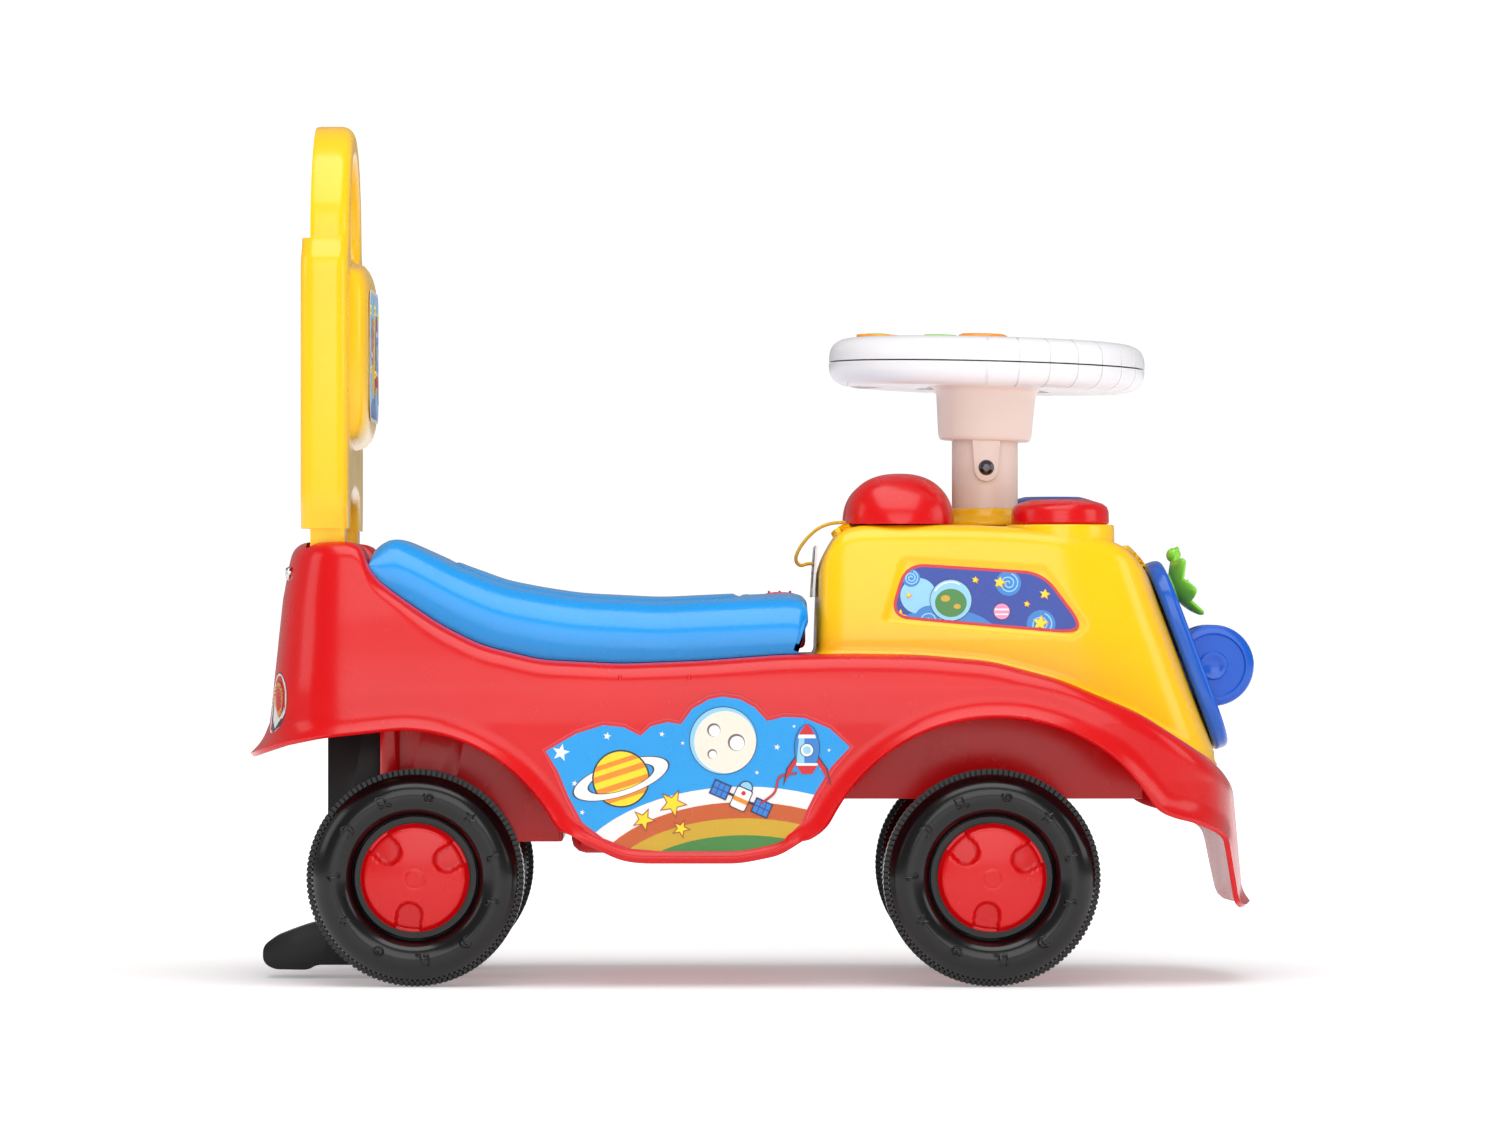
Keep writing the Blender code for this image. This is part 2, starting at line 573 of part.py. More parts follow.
def make_roller():
    hub = pivot("roller_pivot", (ROLLER_X, 0, ROLLER_Z))
    shaft = rod(0.0025, -0.024, 0.024, 12, (ROLLER_X, 0, ROLLER_Z), "Y")
    add_piece("roller_shaft", shaft, "steel", hub)
    for side in (-1, 1):
        word = "left" if side > 0 else "right"
        profile = [(0.0, 0.0245), (0.0028, 0.0245), (0.0028, 0.0048), (0.0212, 0.0048),
                   (ROLLER_RADIUS, 0.0068), (ROLLER_RADIUS, 0.0278), (0.0212, 0.0298), (0.0, 0.0298)]
        drum = turned([(radius, side * y) for radius, y in profile], 24, (ROLLER_X, 0, ROLLER_Z), "Y")
        add_piece(f"roller_{word}", drum, "deep_blue_plastic", hub)


def make_spinner():
    frame = plate_frame() @ Matrix.Translation((SPINNER_UP, 0, 0))
    hub = pivot("spinner_pivot", frame.translation)
    pin = turned([(0.0, -0.008), (0.0050, -0.008), (0.0050, -0.0065), (0.0019, -0.0065), (0.0019, 0.0220),
                  (0.0, 0.0220)], 12, (0, 0, 0))
    bmesh.ops.transform(pin, matrix=frame, verts=pin.verts)
    add_piece("spinner_pin", pin, "steel")
    points = []
    petals = 7
    for i in range(petals * 4):
        angle = 2 * math.pi * i / (petals * 4)
        radius = (0.0190, 0.0140, 0.0085, 0.0140)[i % 4]
        points.append((radius * math.cos(angle), radius * math.sin(angle)))
    rings = []
    for scale, level in ((0.62, PLATE_THICK + 0.0010), (0.80, PLATE_THICK + 0.0060),
                         (1.0, PLATE_THICK + 0.0130), (0.94, PLATE_THICK + 0.0150),
                         (0.45, PLATE_THICK + 0.0105)):
        rings.append([Vector((x * scale, y * scale, level)) for x, y in points])
    star = loft(rings)
    bmesh.ops.transform(star, matrix=frame, verts=star.verts)
    spinner = add_piece("star_spinner", star, "green_plastic", hub)
    bore = rod(0.0023, 0.0, 0.05, 10, (0, 0, 0))
    bmesh.ops.transform(bore, matrix=frame, verts=bore.verts)
    combine(spinner, "spinner_bore", bore, "DIFFERENCE")


def make_knobs():
    for side, colour, word, lift in ((-1, "red_plastic", "red", 0.0), (1, "deep_blue_plastic", "blue", 0.003)):
        y = side * KNOB_Y
        base = BONNET_TOP_Z + GAP
        top = base + 0.0137 + lift
        hub = pivot(f"{word}_knob_pivot", (KNOB_X, y, base))
        profile = [(0.0, 0.2380), (0.0040, 0.2380), (0.0040, base), (KNOB_RADIUS - 0.0015, base),
                   (KNOB_RADIUS, base + 0.0015), (KNOB_RADIUS - 0.0004, top - 0.0035),
                   (KNOB_RADIUS - 0.0035, top - 0.0012), (0.0130, top), (0.0, top - 0.0014)]
        add_piece(f"{word}_knob", turned(profile, 22, (KNOB_X, y, 0)), colour, hub)
        clip = ring(0.0043, 0.0075, 0.2405, 0.2420, 12, (KNOB_X, y, 0))
        add_piece(f"{word}_knob_clip", clip, "steel", hub)


def make_handset():
    hub = pivot("handset_pivot", (HANDSET_X, 0, BONNET_TOP_Z))
    low = BONNET_TOP_Z + GAP
    rings = []
    for y, half_x, top in ((-0.071, 0.010, 0.008), (-0.0675, 0.0215, 0.0175), (-0.060, 0.0275, 0.0245),
                           (-HANDSET_CUP_Y, 0.0305, 0.0284), (-0.036, 0.0275, 0.0255), (-0.028, 0.0190, 0.0205),
                           (-0.020, 0.0130, 0.0180), (0.020, 0.0130, 0.0180), (0.028, 0.0190, 0.0205),
                           (0.036, 0.0275, 0.0255), (HANDSET_CUP_Y, 0.0305, 0.0284), (0.060, 0.0275, 0.0245),
                           (0.0675, 0.0215, 0.0175), (0.071, 0.010, 0.008)):
        lift = 0.005 if abs(y) < 0.03 else 0.0
        rings.append([(HANDSET_X + half_x * c, y, low + lift + (top - lift) * s) for c, s in
                      ((1.0, 0.0), (0.96, 0.30), (0.80, 0.62), (0.48, 0.90), (0.0, 1.0), (-0.48, 0.92),
                       (-0.80, 0.68), (-0.96, 0.34), (-1.0, 0.0))])
    handset = add_piece("handset", loft(rings), "red_plastic", hub)
    for side, word in ((-1, "right"), (1, "left")):
        recess_y = side * HANDSET_CUP_Y
        recess = rod(0.0175, low - 0.01, low + 0.0120, 20, (HANDSET_X, recess_y, 0))
        combine(handset, f"cup_recess_{word}", recess, "DIFFERENCE")


# route of the tether from the dash to the handset
CORD_ROUTE = [(0.0338, 0.004, 0.2325), (0.0318, 0.004, 0.2340), (0.0290, 0.003, 0.2338),
              (0.0255, 0.001, 0.2330), (0.0231, -0.001, 0.2352), (0.0232, -0.003, 0.2388),
              (0.0258, -0.005, 0.2440), (0.0302, -0.007, 0.2494), (0.0358, -0.009, 0.2540),
              (0.0425, -0.011, 0.2566), (0.0500, -0.012, 0.2572), (0.0570, -0.012, 0.2572),
              (0.0630, -0.012, 0.2576), (0.0670, -0.012, 0.2598)]


def smooth_route(route, steps):
    """Catmull-Rom points through a route."""
    padded = [route[0]] + route + [route[-1]]
    points = []
    for a, b, c, d in zip(padded, padded[1:], padded[2:], padded[3:]):
        a, b, c, d = Vector(a), Vector(b), Vector(c), Vector(d)
        for i in range(steps):
            t = i / steps
            points.append(0.5 * (2 * b + (c - a) * t + (2 * a - 5 * b + 4 * c - d) * t * t
                                 + (3 * b - a - 3 * c + d) * t * t * t))
    return points + [Vector(route[-1])]


def make_cord():
    curve = bpy.data.curves.new("handset_cord", "CURVE")
    curve.dimensions = "3D"
    curve.bevel_depth = CORD_RADIUS
    curve.bevel_resolution = 2
    curve.use_fill_caps = True
    points = smooth_route(CORD_ROUTE, 2)
    spline = curve.splines.new("POLY")
    spline.points.add(len(points) - 1)
    for point, place in zip(spline.points, points):
        point.co = (*place, 1.0)
    curve.materials.append(make_material("cord_yellow"))
    cord = bpy.data.objects.new("handset_cord", curve)
    bpy.context.scene.collection.objects.link(cord)


# ---- seat -------------------------------------------------------------------------------------------
SEAT_TOP = [(-0.2145, 0.2350), (-0.2135, 0.2388), (-0.2087, 0.2438), (-0.2004, 0.2477), (-0.1865, 0.2410),
            (-0.1643, 0.2288), (-0.1421, 0.2193), (-0.1199, 0.2149), (-0.0978, 0.2116), (-0.0534, 0.2094),
            (-0.0090, 0.2115), (0.0200, 0.2126), (0.0235, 0.2121), (0.0262, 0.2108), (0.0282, 0.2080)]
# underside of the seat's nose, cut back so that it clears the dash as the seat tilts
SEAT_NOSE_LOW = {0.0262: 0.1935, 0.0282: 0.2040}


def seat_crown(x):
    """The seat is nearly flat across at its rear roll and crowned from there on."""
    return 0.001 + (SEAT_CROWN - 0.001) * min(1.0, max(0.0, (x + 0.2004) / 0.058))


def seat_ring(x, top, low, half, crown, edge):
    edge = min(edge, (top - low) * 0.6)
    side = [(half, low), (half, top - edge), (half - edge * 0.45, top - edge * 0.15),
            (half * 0.6, top + crown * 0.64), (half * 0.25, top + crown * 0.94)]
    points = side + [(-y, z) for y, z in reversed(side)]
    return [(x, y, z) for y, z in points]


def make_seat():
    hinge = pivot("seat_pivot", (SEAT_HINGE_X, 0, SEAT_HINGE_Z))
    outer = [seat_ring(x, z, SEAT_NOSE_LOW.get(x, height_on(DECK, x) + 0.0004), SEAT_HALF_WIDTH,
                       seat_crown(x), 0.012) for x, z in SEAT_TOP]
    seat = add_piece("seat_lid", loft(outer), "sky_blue_plastic", hinge)
    inner_top = [(-0.2118, 0.2325), (-0.2108, 0.2372), (-0.2065, 0.2410), (-0.2004, 0.2443)]
    inner_top += [(x, z - WALL) for x, z in SEAT_TOP[4:11]] + [(0.0190, 0.2095), (0.0205, 0.2075)]
    inner = [seat_ring(x, z, height_on(DECK, x) - 0.02, SEAT_HALF_WIDTH - WALL, seat_crown(x), 0.010)
             for x, z in inner_top]
    combine(seat, "seat_cavity", loft(inner), "DIFFERENCE")
    for side in (-1, 1):
        word = "left" if side > 0 else "right"
        low, high = sorted((side * 0.0275, side * 0.0385))
        combine(seat, f"lug_slot_{word}", block((-0.230, low, 0.200), (-0.2010, high, 0.2413)), "DIFFERENCE")
        low, high = sorted((side * 0.0400, side * 0.0450))
        knuckle = [(-0.2120, 0.2330), (-0.2020, 0.2330), (-0.2020, 0.2455), (-0.2080, 0.2428),
                   (-0.2120, 0.2395)]
        combine(seat, f"knuckle_{word}", prism(knuckle, "Y", low, high), "UNION")
    combine(seat, "knuckle_hole", rod(0.0021, -0.06, 0.06, 12, (SEAT_HINGE_X, 0, SEAT_HINGE_Z), "Y"),
            "DIFFERENCE")
    notch = block((-0.0040, -0.0200, 0.15), (0.05, 0.0200, 0.25))
    combine(seat, "catch_notch", notch, "DIFFERENCE")


def make_catch():
    """Push catch that stands in the seat's front notch."""
    hub = pivot("catch_pivot", (CATCH_X, 0, 0.1875))
    half = 0.0145
    top = [(-half, 0.1875), (-half, 0.2130), (-half + 0.004, 0.2165), (-0.004, 0.2180), (0.006, 0.2178),
           (half - 0.003, 0.2160), (half, 0.2125), (half, 0.1875)]
    shape = prism([(CATCH_X + x, z) for x, z in top], "Y", -0.0165, 0.0165)
    catch = add_piece("seat_catch", shape, "red_plastic", hub)
    combine(catch, "catch_stem", rod(0.0040, 0.1700, 0.1900, 12, (CATCH_X, 0, 0)), "UNION")


# ---- steering ----------------------------------------------------------------------------------------
def make_steering(hub):
    profile = [(0.0, 0.1400), (0.0063, 0.1400), (0.0063, 0.1100), (STEM_RADIUS, 0.1100),
               (STEM_RADIUS, COLUMN_LOW_Z), (COLUMN_RADIUS, COLUMN_LOW_Z), (COLUMN_RADIUS, 0.3280),
               (0.0155, 0.3280), (0.0155, 0.2700), (0.0, 0.2700)]
    column = add_piece("steering_column", turned(profile, 24, (STEER_X, 0, 0)), "cream_plastic", hub)
    combine(column, "column_screw_hole", rod(0.0023, -0.03, 0.03, 12, (STEER_X, 0, SCREW_Z), "Y"),
            "DIFFERENCE")

    yoke = block((STEER_X - 0.018, -0.0300, 0.0460), (STEER_X + 0.018, 0.0300, 0.0980))
    yoke = add_piece("steering_yoke", yoke, "black_plastic", hub)
    soften(yoke, 0.003)
    combine(yoke, "yoke_spigot", rod(0.0060, 0.0970, 0.1380, 16, (STEER_X, 0, 0)), "UNION")
    combine(yoke, "yoke_neck", rod(0.0110, 0.0970, 0.1097, 20, (STEER_X, 0, 0)), "UNION")
    combine(yoke, "yoke_bore", rod(AXLE_RADIUS + GAP, -0.05, 0.05, 16, (STEER_X, 0, WHEEL_RADIUS), "Y"),
            "DIFFERENCE")
    axle = rod(AXLE_RADIUS, -AXLE_HALF_LENGTH, AXLE_HALF_LENGTH, 16, (STEER_X, 0, WHEEL_RADIUS), "Y")
    add_piece("front_axle", axle, "steel", hub)
    for side in (-1, 1):
        word = "left" if side > 0 else "right"
        low, high = sorted((side * 0.0303, side * 0.0765))
        tube = ring(AXLE_RADIUS + GAP, 0.0080, low, high, 16, (STEER_X, 0, WHEEL_RADIUS), "Y")
        add_piece(f"front_spacer_{word}", tube, "black_plastic", hub)


def tilt_matrix():
    centre = Vector((RIM_X, 0, RIM_SPLIT_Z))
    return Matrix.Translation(centre) @ Matrix.Rotation(RIM_TILT, 4, "Y") @ Matrix.Translation(-centre)


def tilted(shape):
    bmesh.ops.transform(shape, matrix=tilt_matrix(), verts=shape.verts)
    return shape


def finger_hole(side, grow, low, high):
    """Kidney-shaped opening between the rim and the hub."""
    outer = arc((RIM_X, 0), 0.0640 + grow, side * 90 - 38, side * 90 + 38, 8)
    inner = arc((RIM_X, 0), 0.0500 - grow, side * 90 + 38, side * 90 - 38, 8)
    return prism(outer + inner, "Z", low, high)


def wheel_shell(name, low, high, hub):
    """The hollow rim, web and boss; low and high bound the half that is kept."""
    boss = [(0.0, 0.3047), (0.0240, 0.3047), (0.0262, 0.3072), (0.0280, RIM_LOW_Z - 0.0010)]
    under = [(0.0480, RIM_LOW_Z + 0.0015), (0.0790, RIM_LOW_Z), (0.0865, RIM_LOW_Z + 0.0045),
             (RIM_RADIUS, RIM_SPLIT_Z - 0.0030)]
    over = [(RIM_RADIUS, RIM_SPLIT_Z + 0.0030), (0.0865, RIM_TOP_Z - 0.0045), (0.0790, RIM_TOP_Z),
            (0.0, RIM_TOP_Z)]
    shell = add_piece(name, tilted(turned(boss + under + over, 36, (RIM_X, 0, 0))), "white_plastic", hub)
    inner = [(0.0, RIM_LOW_Z + 0.0045), (0.0480, RIM_LOW_Z + 0.0045), (0.0780, RIM_LOW_Z + 0.0028),
             (0.0845, RIM_LOW_Z + 0.0065), (0.0866, RIM_SPLIT_Z), (0.0846, RIM_TOP_Z - 0.0070),
             (0.0780, RIM_TOP_Z - 0.0027), (0.0, RIM_TOP_Z - 0.0025)]
    void = add_piece(f"{name}_void", tilted(turned(inner, 30, (RIM_X, 0, 0))), None, hub)
    void.hide_render = True
    void.display_type = "WIRE"
    for side, word in ((-1, "right"), (1, "left")):
        combine(void, f"{name}_void_{word}", tilted(finger_hole(side, 0.0025, 0.30, 0.40)), "DIFFERENCE")
        combine(shell, f"{name}_hole_{word}", tilted(finger_hole(side, 0.0, 0.30, 0.40)), "DIFFERENCE")
    modifier = shell.modifiers.new("void", "BOOLEAN")
    modifier.operation = "DIFFERENCE"
    modifier.object = void
    keep = block((RIM_X - 0.12, -0.12, low), (RIM_X + 0.12, 0.12, high))
    combine(shell, f"{name}_half", tilted(keep), "INTERSECT")
    return shell


BUTTONS = {
    "centre_button": (-0.0025, 0.0, 0.0145, 0.0045, "orange_plastic"),
    "green_button": (-0.0270, -0.0140, 0.0110, 0.0022, "green_plastic"),
    "red_button": (0.0200, 0.0150, 0.0110, 0.0024, "red_plastic"),
    "rim_button": (-0.0620, 0.0, 0.0088, 0.0030, "green_plastic"),
}


def make_steering_wheel(hub):
    lower = wheel_shell("wheel_lower_shell", 0.29, RIM_SPLIT_Z - GAP / 2, hub)
    upper = wheel_shell("wheel_upper_shell", RIM_SPLIT_Z + GAP / 2, 0.38, hub)
    combine(lower, "boss_bore", rod(0.0195, 0.29, 0.3290, 28, (STEER_X, 0, 0)), "DIFFERENCE")
    tip = arc((STEER_X, SCREW_Z - 0.001), 0.0065, 180, 360, 6)
    tongue = [(STEER_X - 0.0085, 0.3100)] + tip + [(STEER_X + 0.0085, 0.3100)]
    combine(lower, "screw_tongue", prism(tongue, "Y", -0.0216, -0.0190), "UNION")
    combine(lower, "tongue_hole", rod(0.0023, -0.03, -0.01, 12, (STEER_X, 0, SCREW_Z), "Y"), "DIFFERENCE")
    door = block((RIM_X - 0.0790, -0.0290, 0.3200), (RIM_X - 0.0330, 0.0290, 0.3395))
    combine(lower, "door_opening", tilted(door), "DIFFERENCE")
    plate = block((RIM_X - 0.0787, -0.0287, 0.3335), (RIM_X - 0.0333, 0.0287, 0.3355))
    add_piece("battery_door", tilted(plate), "white_plastic", hub)
    for name, (dx, y, radius, _, _) in BUTTONS.items():
        hole = rod(radius + GAP, 0.35, 0.38, 16, (RIM_X + dx, y, 0))
        combine(upper, f"{name}_hole", tilted(hole), "DIFFERENCE")
    board = block((RIM_X - 0.036, -0.0300, 0.3480), (RIM_X + 0.036, 0.0300, 0.3496))
    add_piece("circuit_board", tilted(board), "circuit_green", hub)
    speaker = turned([(0.0, 0.3385), (0.0150, 0.3385), (0.0150, 0.3400), (0.0080, 0.3450), (0.0080, 0.3475),
                      (0.0, 0.3475)], 20, (RIM_X + 0.054, 0, 0))
    add_piece("speaker", tilted(speaker), "black_plastic", hub)
    for index, dx in enumerate((-0.0660, -0.0480), start=1):
        cell = rod(0.0050, -0.0222, 0.0222, 14, (RIM_X + dx, 0, 0.3418), "Y")
        add_piece(f"battery_{index}", tilted(cell), "battery_wrap", hub)

    head = turned([(0.0, -0.0246), (0.0030, -0.0242), (0.0045, -0.0220), (0.0019, -0.0220), (0.0019, 0.0226),
                   (0.0, 0.0226)], 14, (STEER_X, 0, SCREW_Z), "Y")
    add_piece("column_screw", head, "steel", hub)
    nut = ring(0.0022, 0.0040, 0.0188, 0.0218, 6, (STEER_X, 0, SCREW_Z), "Y")
    add_piece("column_nut", nut, "steel", hub)
    bezel = ring(0.0092, 0.0122, RIM_TOP_Z + GAP, RIM_TOP_Z + 0.0014, 24, (RIM_X - 0.0620, 0, 0))
    add_piece("rim_button_ring", tilted(bezel), "orange_plastic", hub)


def make_buttons(hub):
    for name, (dx, y, radius, proud, colour) in BUTTONS.items():
        centre = (RIM_X + dx, y, 0)
        place = tilt_matrix() @ Vector((RIM_X + dx, y, RIM_TOP_Z))
        button_pivot = pivot(f"{name}_pivot", place, hub)
        foot = RIM_TOP_Z - 0.0065
        top = RIM_TOP_Z + proud
        profile = [(0.0, foot), (radius - GAP, foot), (radius - GAP, top - 0.0014),
                   (radius * 0.72, top - 0.0004), (0.0, top)]
        add_piece(name, tilted(turned(profile, 16, centre)), colour, button_pivot)


# ---- wheels -------------------------------------------------------------------------------------------
def make_wheel(name, x, side, parent):
    """Blow-moulded tyre, hub cap and push nut; widths run outwards from the tyre's middle."""
    hub = pivot(f"{name}_pivot", (x, side * WHEEL_MID_Y, WHEEL_RADIUS), parent)
    bore = AXLE_RADIUS + GAP
    tread = WHEEL_RADIUS / math.cos(math.pi / TYRE_SEGMENTS)
    tyre = [(bore, -TYRE_HALF), (0.0110, -TYRE_HALF), (0.0110, -0.0060), (0.0310, -0.0060),
            (0.0390, -TYRE_HALF), (0.0510, -TYRE_HALF), (0.0585, -0.0125), (tread, -0.0085),
            (tread, 0.0085), (0.0585, 0.0125), (0.0510, TYRE_HALF), (0.0390, TYRE_HALF),
            (0.0335, 0.0030), (bore, 0.0030)]
    cap = [(0.0, 0.0168), (0.0250, 0.0160), (0.0290, 0.0140), (0.0300, 0.0110), (0.0300, 0.0033),
           (0.0275, 0.0033), (0.0275, 0.0120), (0.0, 0.0140)]
    nut = [(bore, 0.0040), (0.0090, 0.0040), (0.0075, 0.0062), (bore, 0.0062)]
    centre = (x, side * WHEEL_MID_Y, WHEEL_RADIUS)

    def outwards(profile):
        return [(radius, side * width) for radius, width in profile]

    shape = turned(outwards(tyre), TYRE_SEGMENTS, centre, "Y", hollow=True, phase=0.5)
    add_piece(f"{name}_tyre", shape, "black_plastic", hub)
    add_piece(f"{name}_hub_cap", turned(outwards(cap), 20, centre, "Y"), "red_plastic", hub)
    add_piece(f"{name}_push_nut", turned(outwards(nut), 12, centre, "Y", hollow=True), "steel", parent)


def main():
    clear_scene()
    make_body()
    make_bonnet()
    make_dash()
    make_backrest()
    make_strut()
    make_fixings()
    make_front_plate()
    make_roller()
    make_spinner()
    make_knobs()
    make_handset()
    make_cord()
    make_seat()
    make_catch()
    steering = pivot("steering_pivot", (STEER_X, 0, WHEEL_RADIUS))
    make_steering(steering)
    make_steering_wheel(steering)
    make_buttons(steering)
    for side, word in ((-1, "right"), (1, "left")):
        make_wheel(f"rear_{word}", REAR_AXLE_X, side, None)
        make_wheel(f"front_{word}", STEER_X, side, steering)


main()
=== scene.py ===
"""A child's push car: a tip-up seat, a steering wheel with sound buttons, and toys on its bonnet.

Lengths are in metres. The car faces +X, its right side is -Y and its tyres stand on z = 0.
"""
import json
import math

import bpy
from mathutils import Matrix, Vector


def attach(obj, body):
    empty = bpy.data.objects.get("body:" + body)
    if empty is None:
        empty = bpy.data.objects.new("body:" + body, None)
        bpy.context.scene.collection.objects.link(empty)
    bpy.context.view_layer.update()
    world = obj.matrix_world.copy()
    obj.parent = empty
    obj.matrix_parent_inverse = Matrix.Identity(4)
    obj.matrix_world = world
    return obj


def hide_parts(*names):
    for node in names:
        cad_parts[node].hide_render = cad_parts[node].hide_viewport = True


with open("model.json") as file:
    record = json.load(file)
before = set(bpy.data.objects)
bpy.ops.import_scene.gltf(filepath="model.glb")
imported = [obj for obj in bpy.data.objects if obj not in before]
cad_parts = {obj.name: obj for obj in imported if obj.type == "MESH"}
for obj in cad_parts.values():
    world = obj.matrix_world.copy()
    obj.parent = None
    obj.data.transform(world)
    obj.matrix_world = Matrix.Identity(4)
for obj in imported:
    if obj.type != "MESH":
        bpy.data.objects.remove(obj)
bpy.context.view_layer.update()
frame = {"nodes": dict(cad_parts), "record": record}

bl_info = {
    "name": "Push Car",
    "version": (1, 0, 0),
    "blender": (4, 5, 0),
    "location": "3D View > Sidebar > Push Car",
    "description": "Builds the looks of a ride-on push car around its packed frame",
    "category": "Add Mesh",
}

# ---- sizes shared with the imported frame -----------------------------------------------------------
WALL = 0.003
BODY_HALF_WIDTH = 0.118
BODY_REAR_X, BODY_FRONT_X = -0.2805, 0.2764
SOCKET_TOP_Z = 0.2457
SADDLE_Z = 0.2325
LEG_Y = 0.065
WHEEL_RADIUS = 0.060
WHEEL_MID_Y = 0.095
REAR_AXLE_X, STEER_X = -0.1883, 0.130
BONNET_TOP_Z = 0.2554
RIM_X, RIM_RADIUS = 0.131, 0.0894
RIM_LOW_Z, RIM_SPLIT_Z, RIM_TOP_Z = 0.3335, 0.3472, 0.3615
RIM_TILT = math.radians(1.5)
COLUMN_RADIUS = 0.0185
SCREW_Z = 0.288
PLATE_LEAN = math.radians(20.5)
ROLLER_X, ROLLER_Z, ROLLER_RADIUS = 0.2576, 0.1765, 0.0229
KNOB_X, KNOB_Y, KNOB_RADIUS = 0.1704, 0.045, 0.0274
HANDSET_X, CUP_Y = 0.0805, 0.048
CATCH_X = 0.0136
MM = 0.001
MERGE = 0.00002
CROSS = ((0.0022, 0.0005), (0.0005, 0.0022))

DECK = [(-0.2900, SOCKET_TOP_Z), (-0.2195, SOCKET_TOP_Z), (-0.2129, 0.2270), (-0.1964, 0.2143),
    (-0.1744, 0.1995), (-0.1523, 0.1884), (-0.1193, 0.1802), (-0.0752, 0.1780), (-0.0311, 0.1796),
    (0.0130, 0.1829), (0.0500, 0.1838), (0.0900, 0.1832), (0.1300, 0.1796), (0.1672, 0.1697),
    (0.2113, 0.1510), (0.2554, 0.1229), (0.2800, 0.1055)]
TAIL = [(0.1272, -0.2805), (0.1450, -0.2730), (0.2134, -0.2660), (0.2457, -0.2600)]
NOSE = [(0.0430, 0.2764), (0.1130, 0.2701)]
BODY_SECTION = [(0.0, BODY_HALF_WIDTH), (0.145, BODY_HALF_WIDTH), (0.165, 0.1165), (0.181, 0.1120),
    (0.206, 0.1040), (0.262, 0.0930)]
BODY_PLAN = [(BODY_REAR_X, 0.0), (-0.2795, -0.055), (-0.2740, -0.085), (-0.2620, -0.105),
    (-0.2420, -BODY_HALF_WIDTH), (0.2020, -BODY_HALF_WIDTH), (0.2350, -0.111), (0.2580, -0.093),
    (0.2700, -0.055), (BODY_FRONT_X, 0.0)]

CORD_ROUTE = [(0.0338, 0.004, 0.2325), (0.0318, 0.004, 0.2340), (0.0290, 0.003, 0.2338), (0.0255, 0.001,
    0.2330), (0.0231, -0.001, 0.2352), (0.0232, -0.003, 0.2388), (0.0258, -0.005, 0.2440),
    (0.0302, -0.007, 0.2494), (0.0358, -0.009, 0.2540), (0.0425, -0.011, 0.2566), (0.0500, -0.012,
    0.2572), (0.0570, -0.012, 0.2572), (0.0630, -0.012, 0.2576), (0.0670, -0.012, 0.2598)]


# ---- numbers and outlines -------------------------------------------------------------------------
def linear(code):
    """Linear colour of a hex code."""
    parts = [int(code[i:i + 2], 16) / 255 for i in (0, 2, 4)]
    return tuple(p / 12.92 if p <= 0.04045 else ((p + 0.055) / 1.055) ** 2.4 for p in parts)


def clamp(value, low=0.0, high=1.0):
    """A value kept between two limits."""
    return max(low, min(high, value))


def ease(value, low, high):
    """0 before low, 1 after high, smooth between them."""
    t = clamp((value - low) / (high - low))
    return t * t * (3 - 2 * t)


def look_up(line, at):
    """Value of an open polyline of (position, value) at a position."""
    for (x0, v0), (x1, v1) in zip(line, line[1:]):
        if at <= x1:
            return v0 + (v1 - v0) * clamp((at - x0) / (x1 - x0))
    return line[-1][1]


def rounded(points, reach, steps=5, closed=False):
    """Round the corners of an outline, using at most reach of each edge."""
    points = [Vector(p) for p in points]
    result = []
    for i, here in enumerate(points):
        if not closed and i in (0, len(points) - 1):
            result.append(here)
            continue
        before, after = points[i - 1] - here, points[(i + 1) % len(points)] - here
        start = here + before.normalized() * min(reach, before.length * 0.49)
        end = here + after.normalized() * min(reach, after.length * 0.49)
        for k in range(steps + 1):
            t = k / steps
            result.append((1 - t) ** 2 * start + 2 * t * (1 - t) * here + t * t * end)
    return result


def arc(centre, radius, start, end, steps, squash=1.0):
    """Points on an arc, angles in degrees; squash flattens it in its second direction."""
    points = []
    for i in range(steps + 1):
        angle = math.radians(start + (end - start) * i / steps)
        points.append((centre[0] + radius * math.cos(angle), centre[1] + radius * squash
            * math.sin(angle)))
    return points


def disc(centre, radius, steps=36, squash=1.0):
    """Points of a circle, or of an ellipse where it is squashed."""
    return arc(centre, radius, 0, 360, steps, squash)[:-1]


def band(centre, inner, outer, start, end, steps=24, squash=1.0):
    """Part of a ring as an outline."""
    return (arc(centre, outer, start, end, steps, squash) + arc(centre, inner, end, start, steps, squash))


def star(centre, radius, points=5, waist=0.42, turn=90.0):
    """Points of a star."""
    outline = []
    for i in range(points * 2):
        angle = math.radians(turn + 180.0 * i / points)
        reach = radius * (waist if i % 2 else 1.0)
        outline.append((centre[0] + reach * math.cos(angle), centre[1] + reach * math.sin(angle)))
    return outline


def box_outline(a0, b0, a1, b1, radius=0.0, steps=5):
    """Outline of a rectangle, rounded where a reach is given."""
    corners = [(a0, b0), (a1, b0), (a1, b1), (a0, b1)]
    return rounded(corners, radius, steps, closed=True) if radius else corners


def stroke(line, width):
    """Outline of a line drawn with a pen of that width."""
    line = [Vector(p) for p in line]
    left, right = [], []
    for i, here in enumerate(line):
        ahead = line[min(i + 1, len(line) - 1)] - line[max(i - 1, 0)]
        side = Vector((-ahead.y, ahead.x)).normalized() * width / 2
        left.append(here + side)
        right.append(here - side)
    return left + right[::-1]


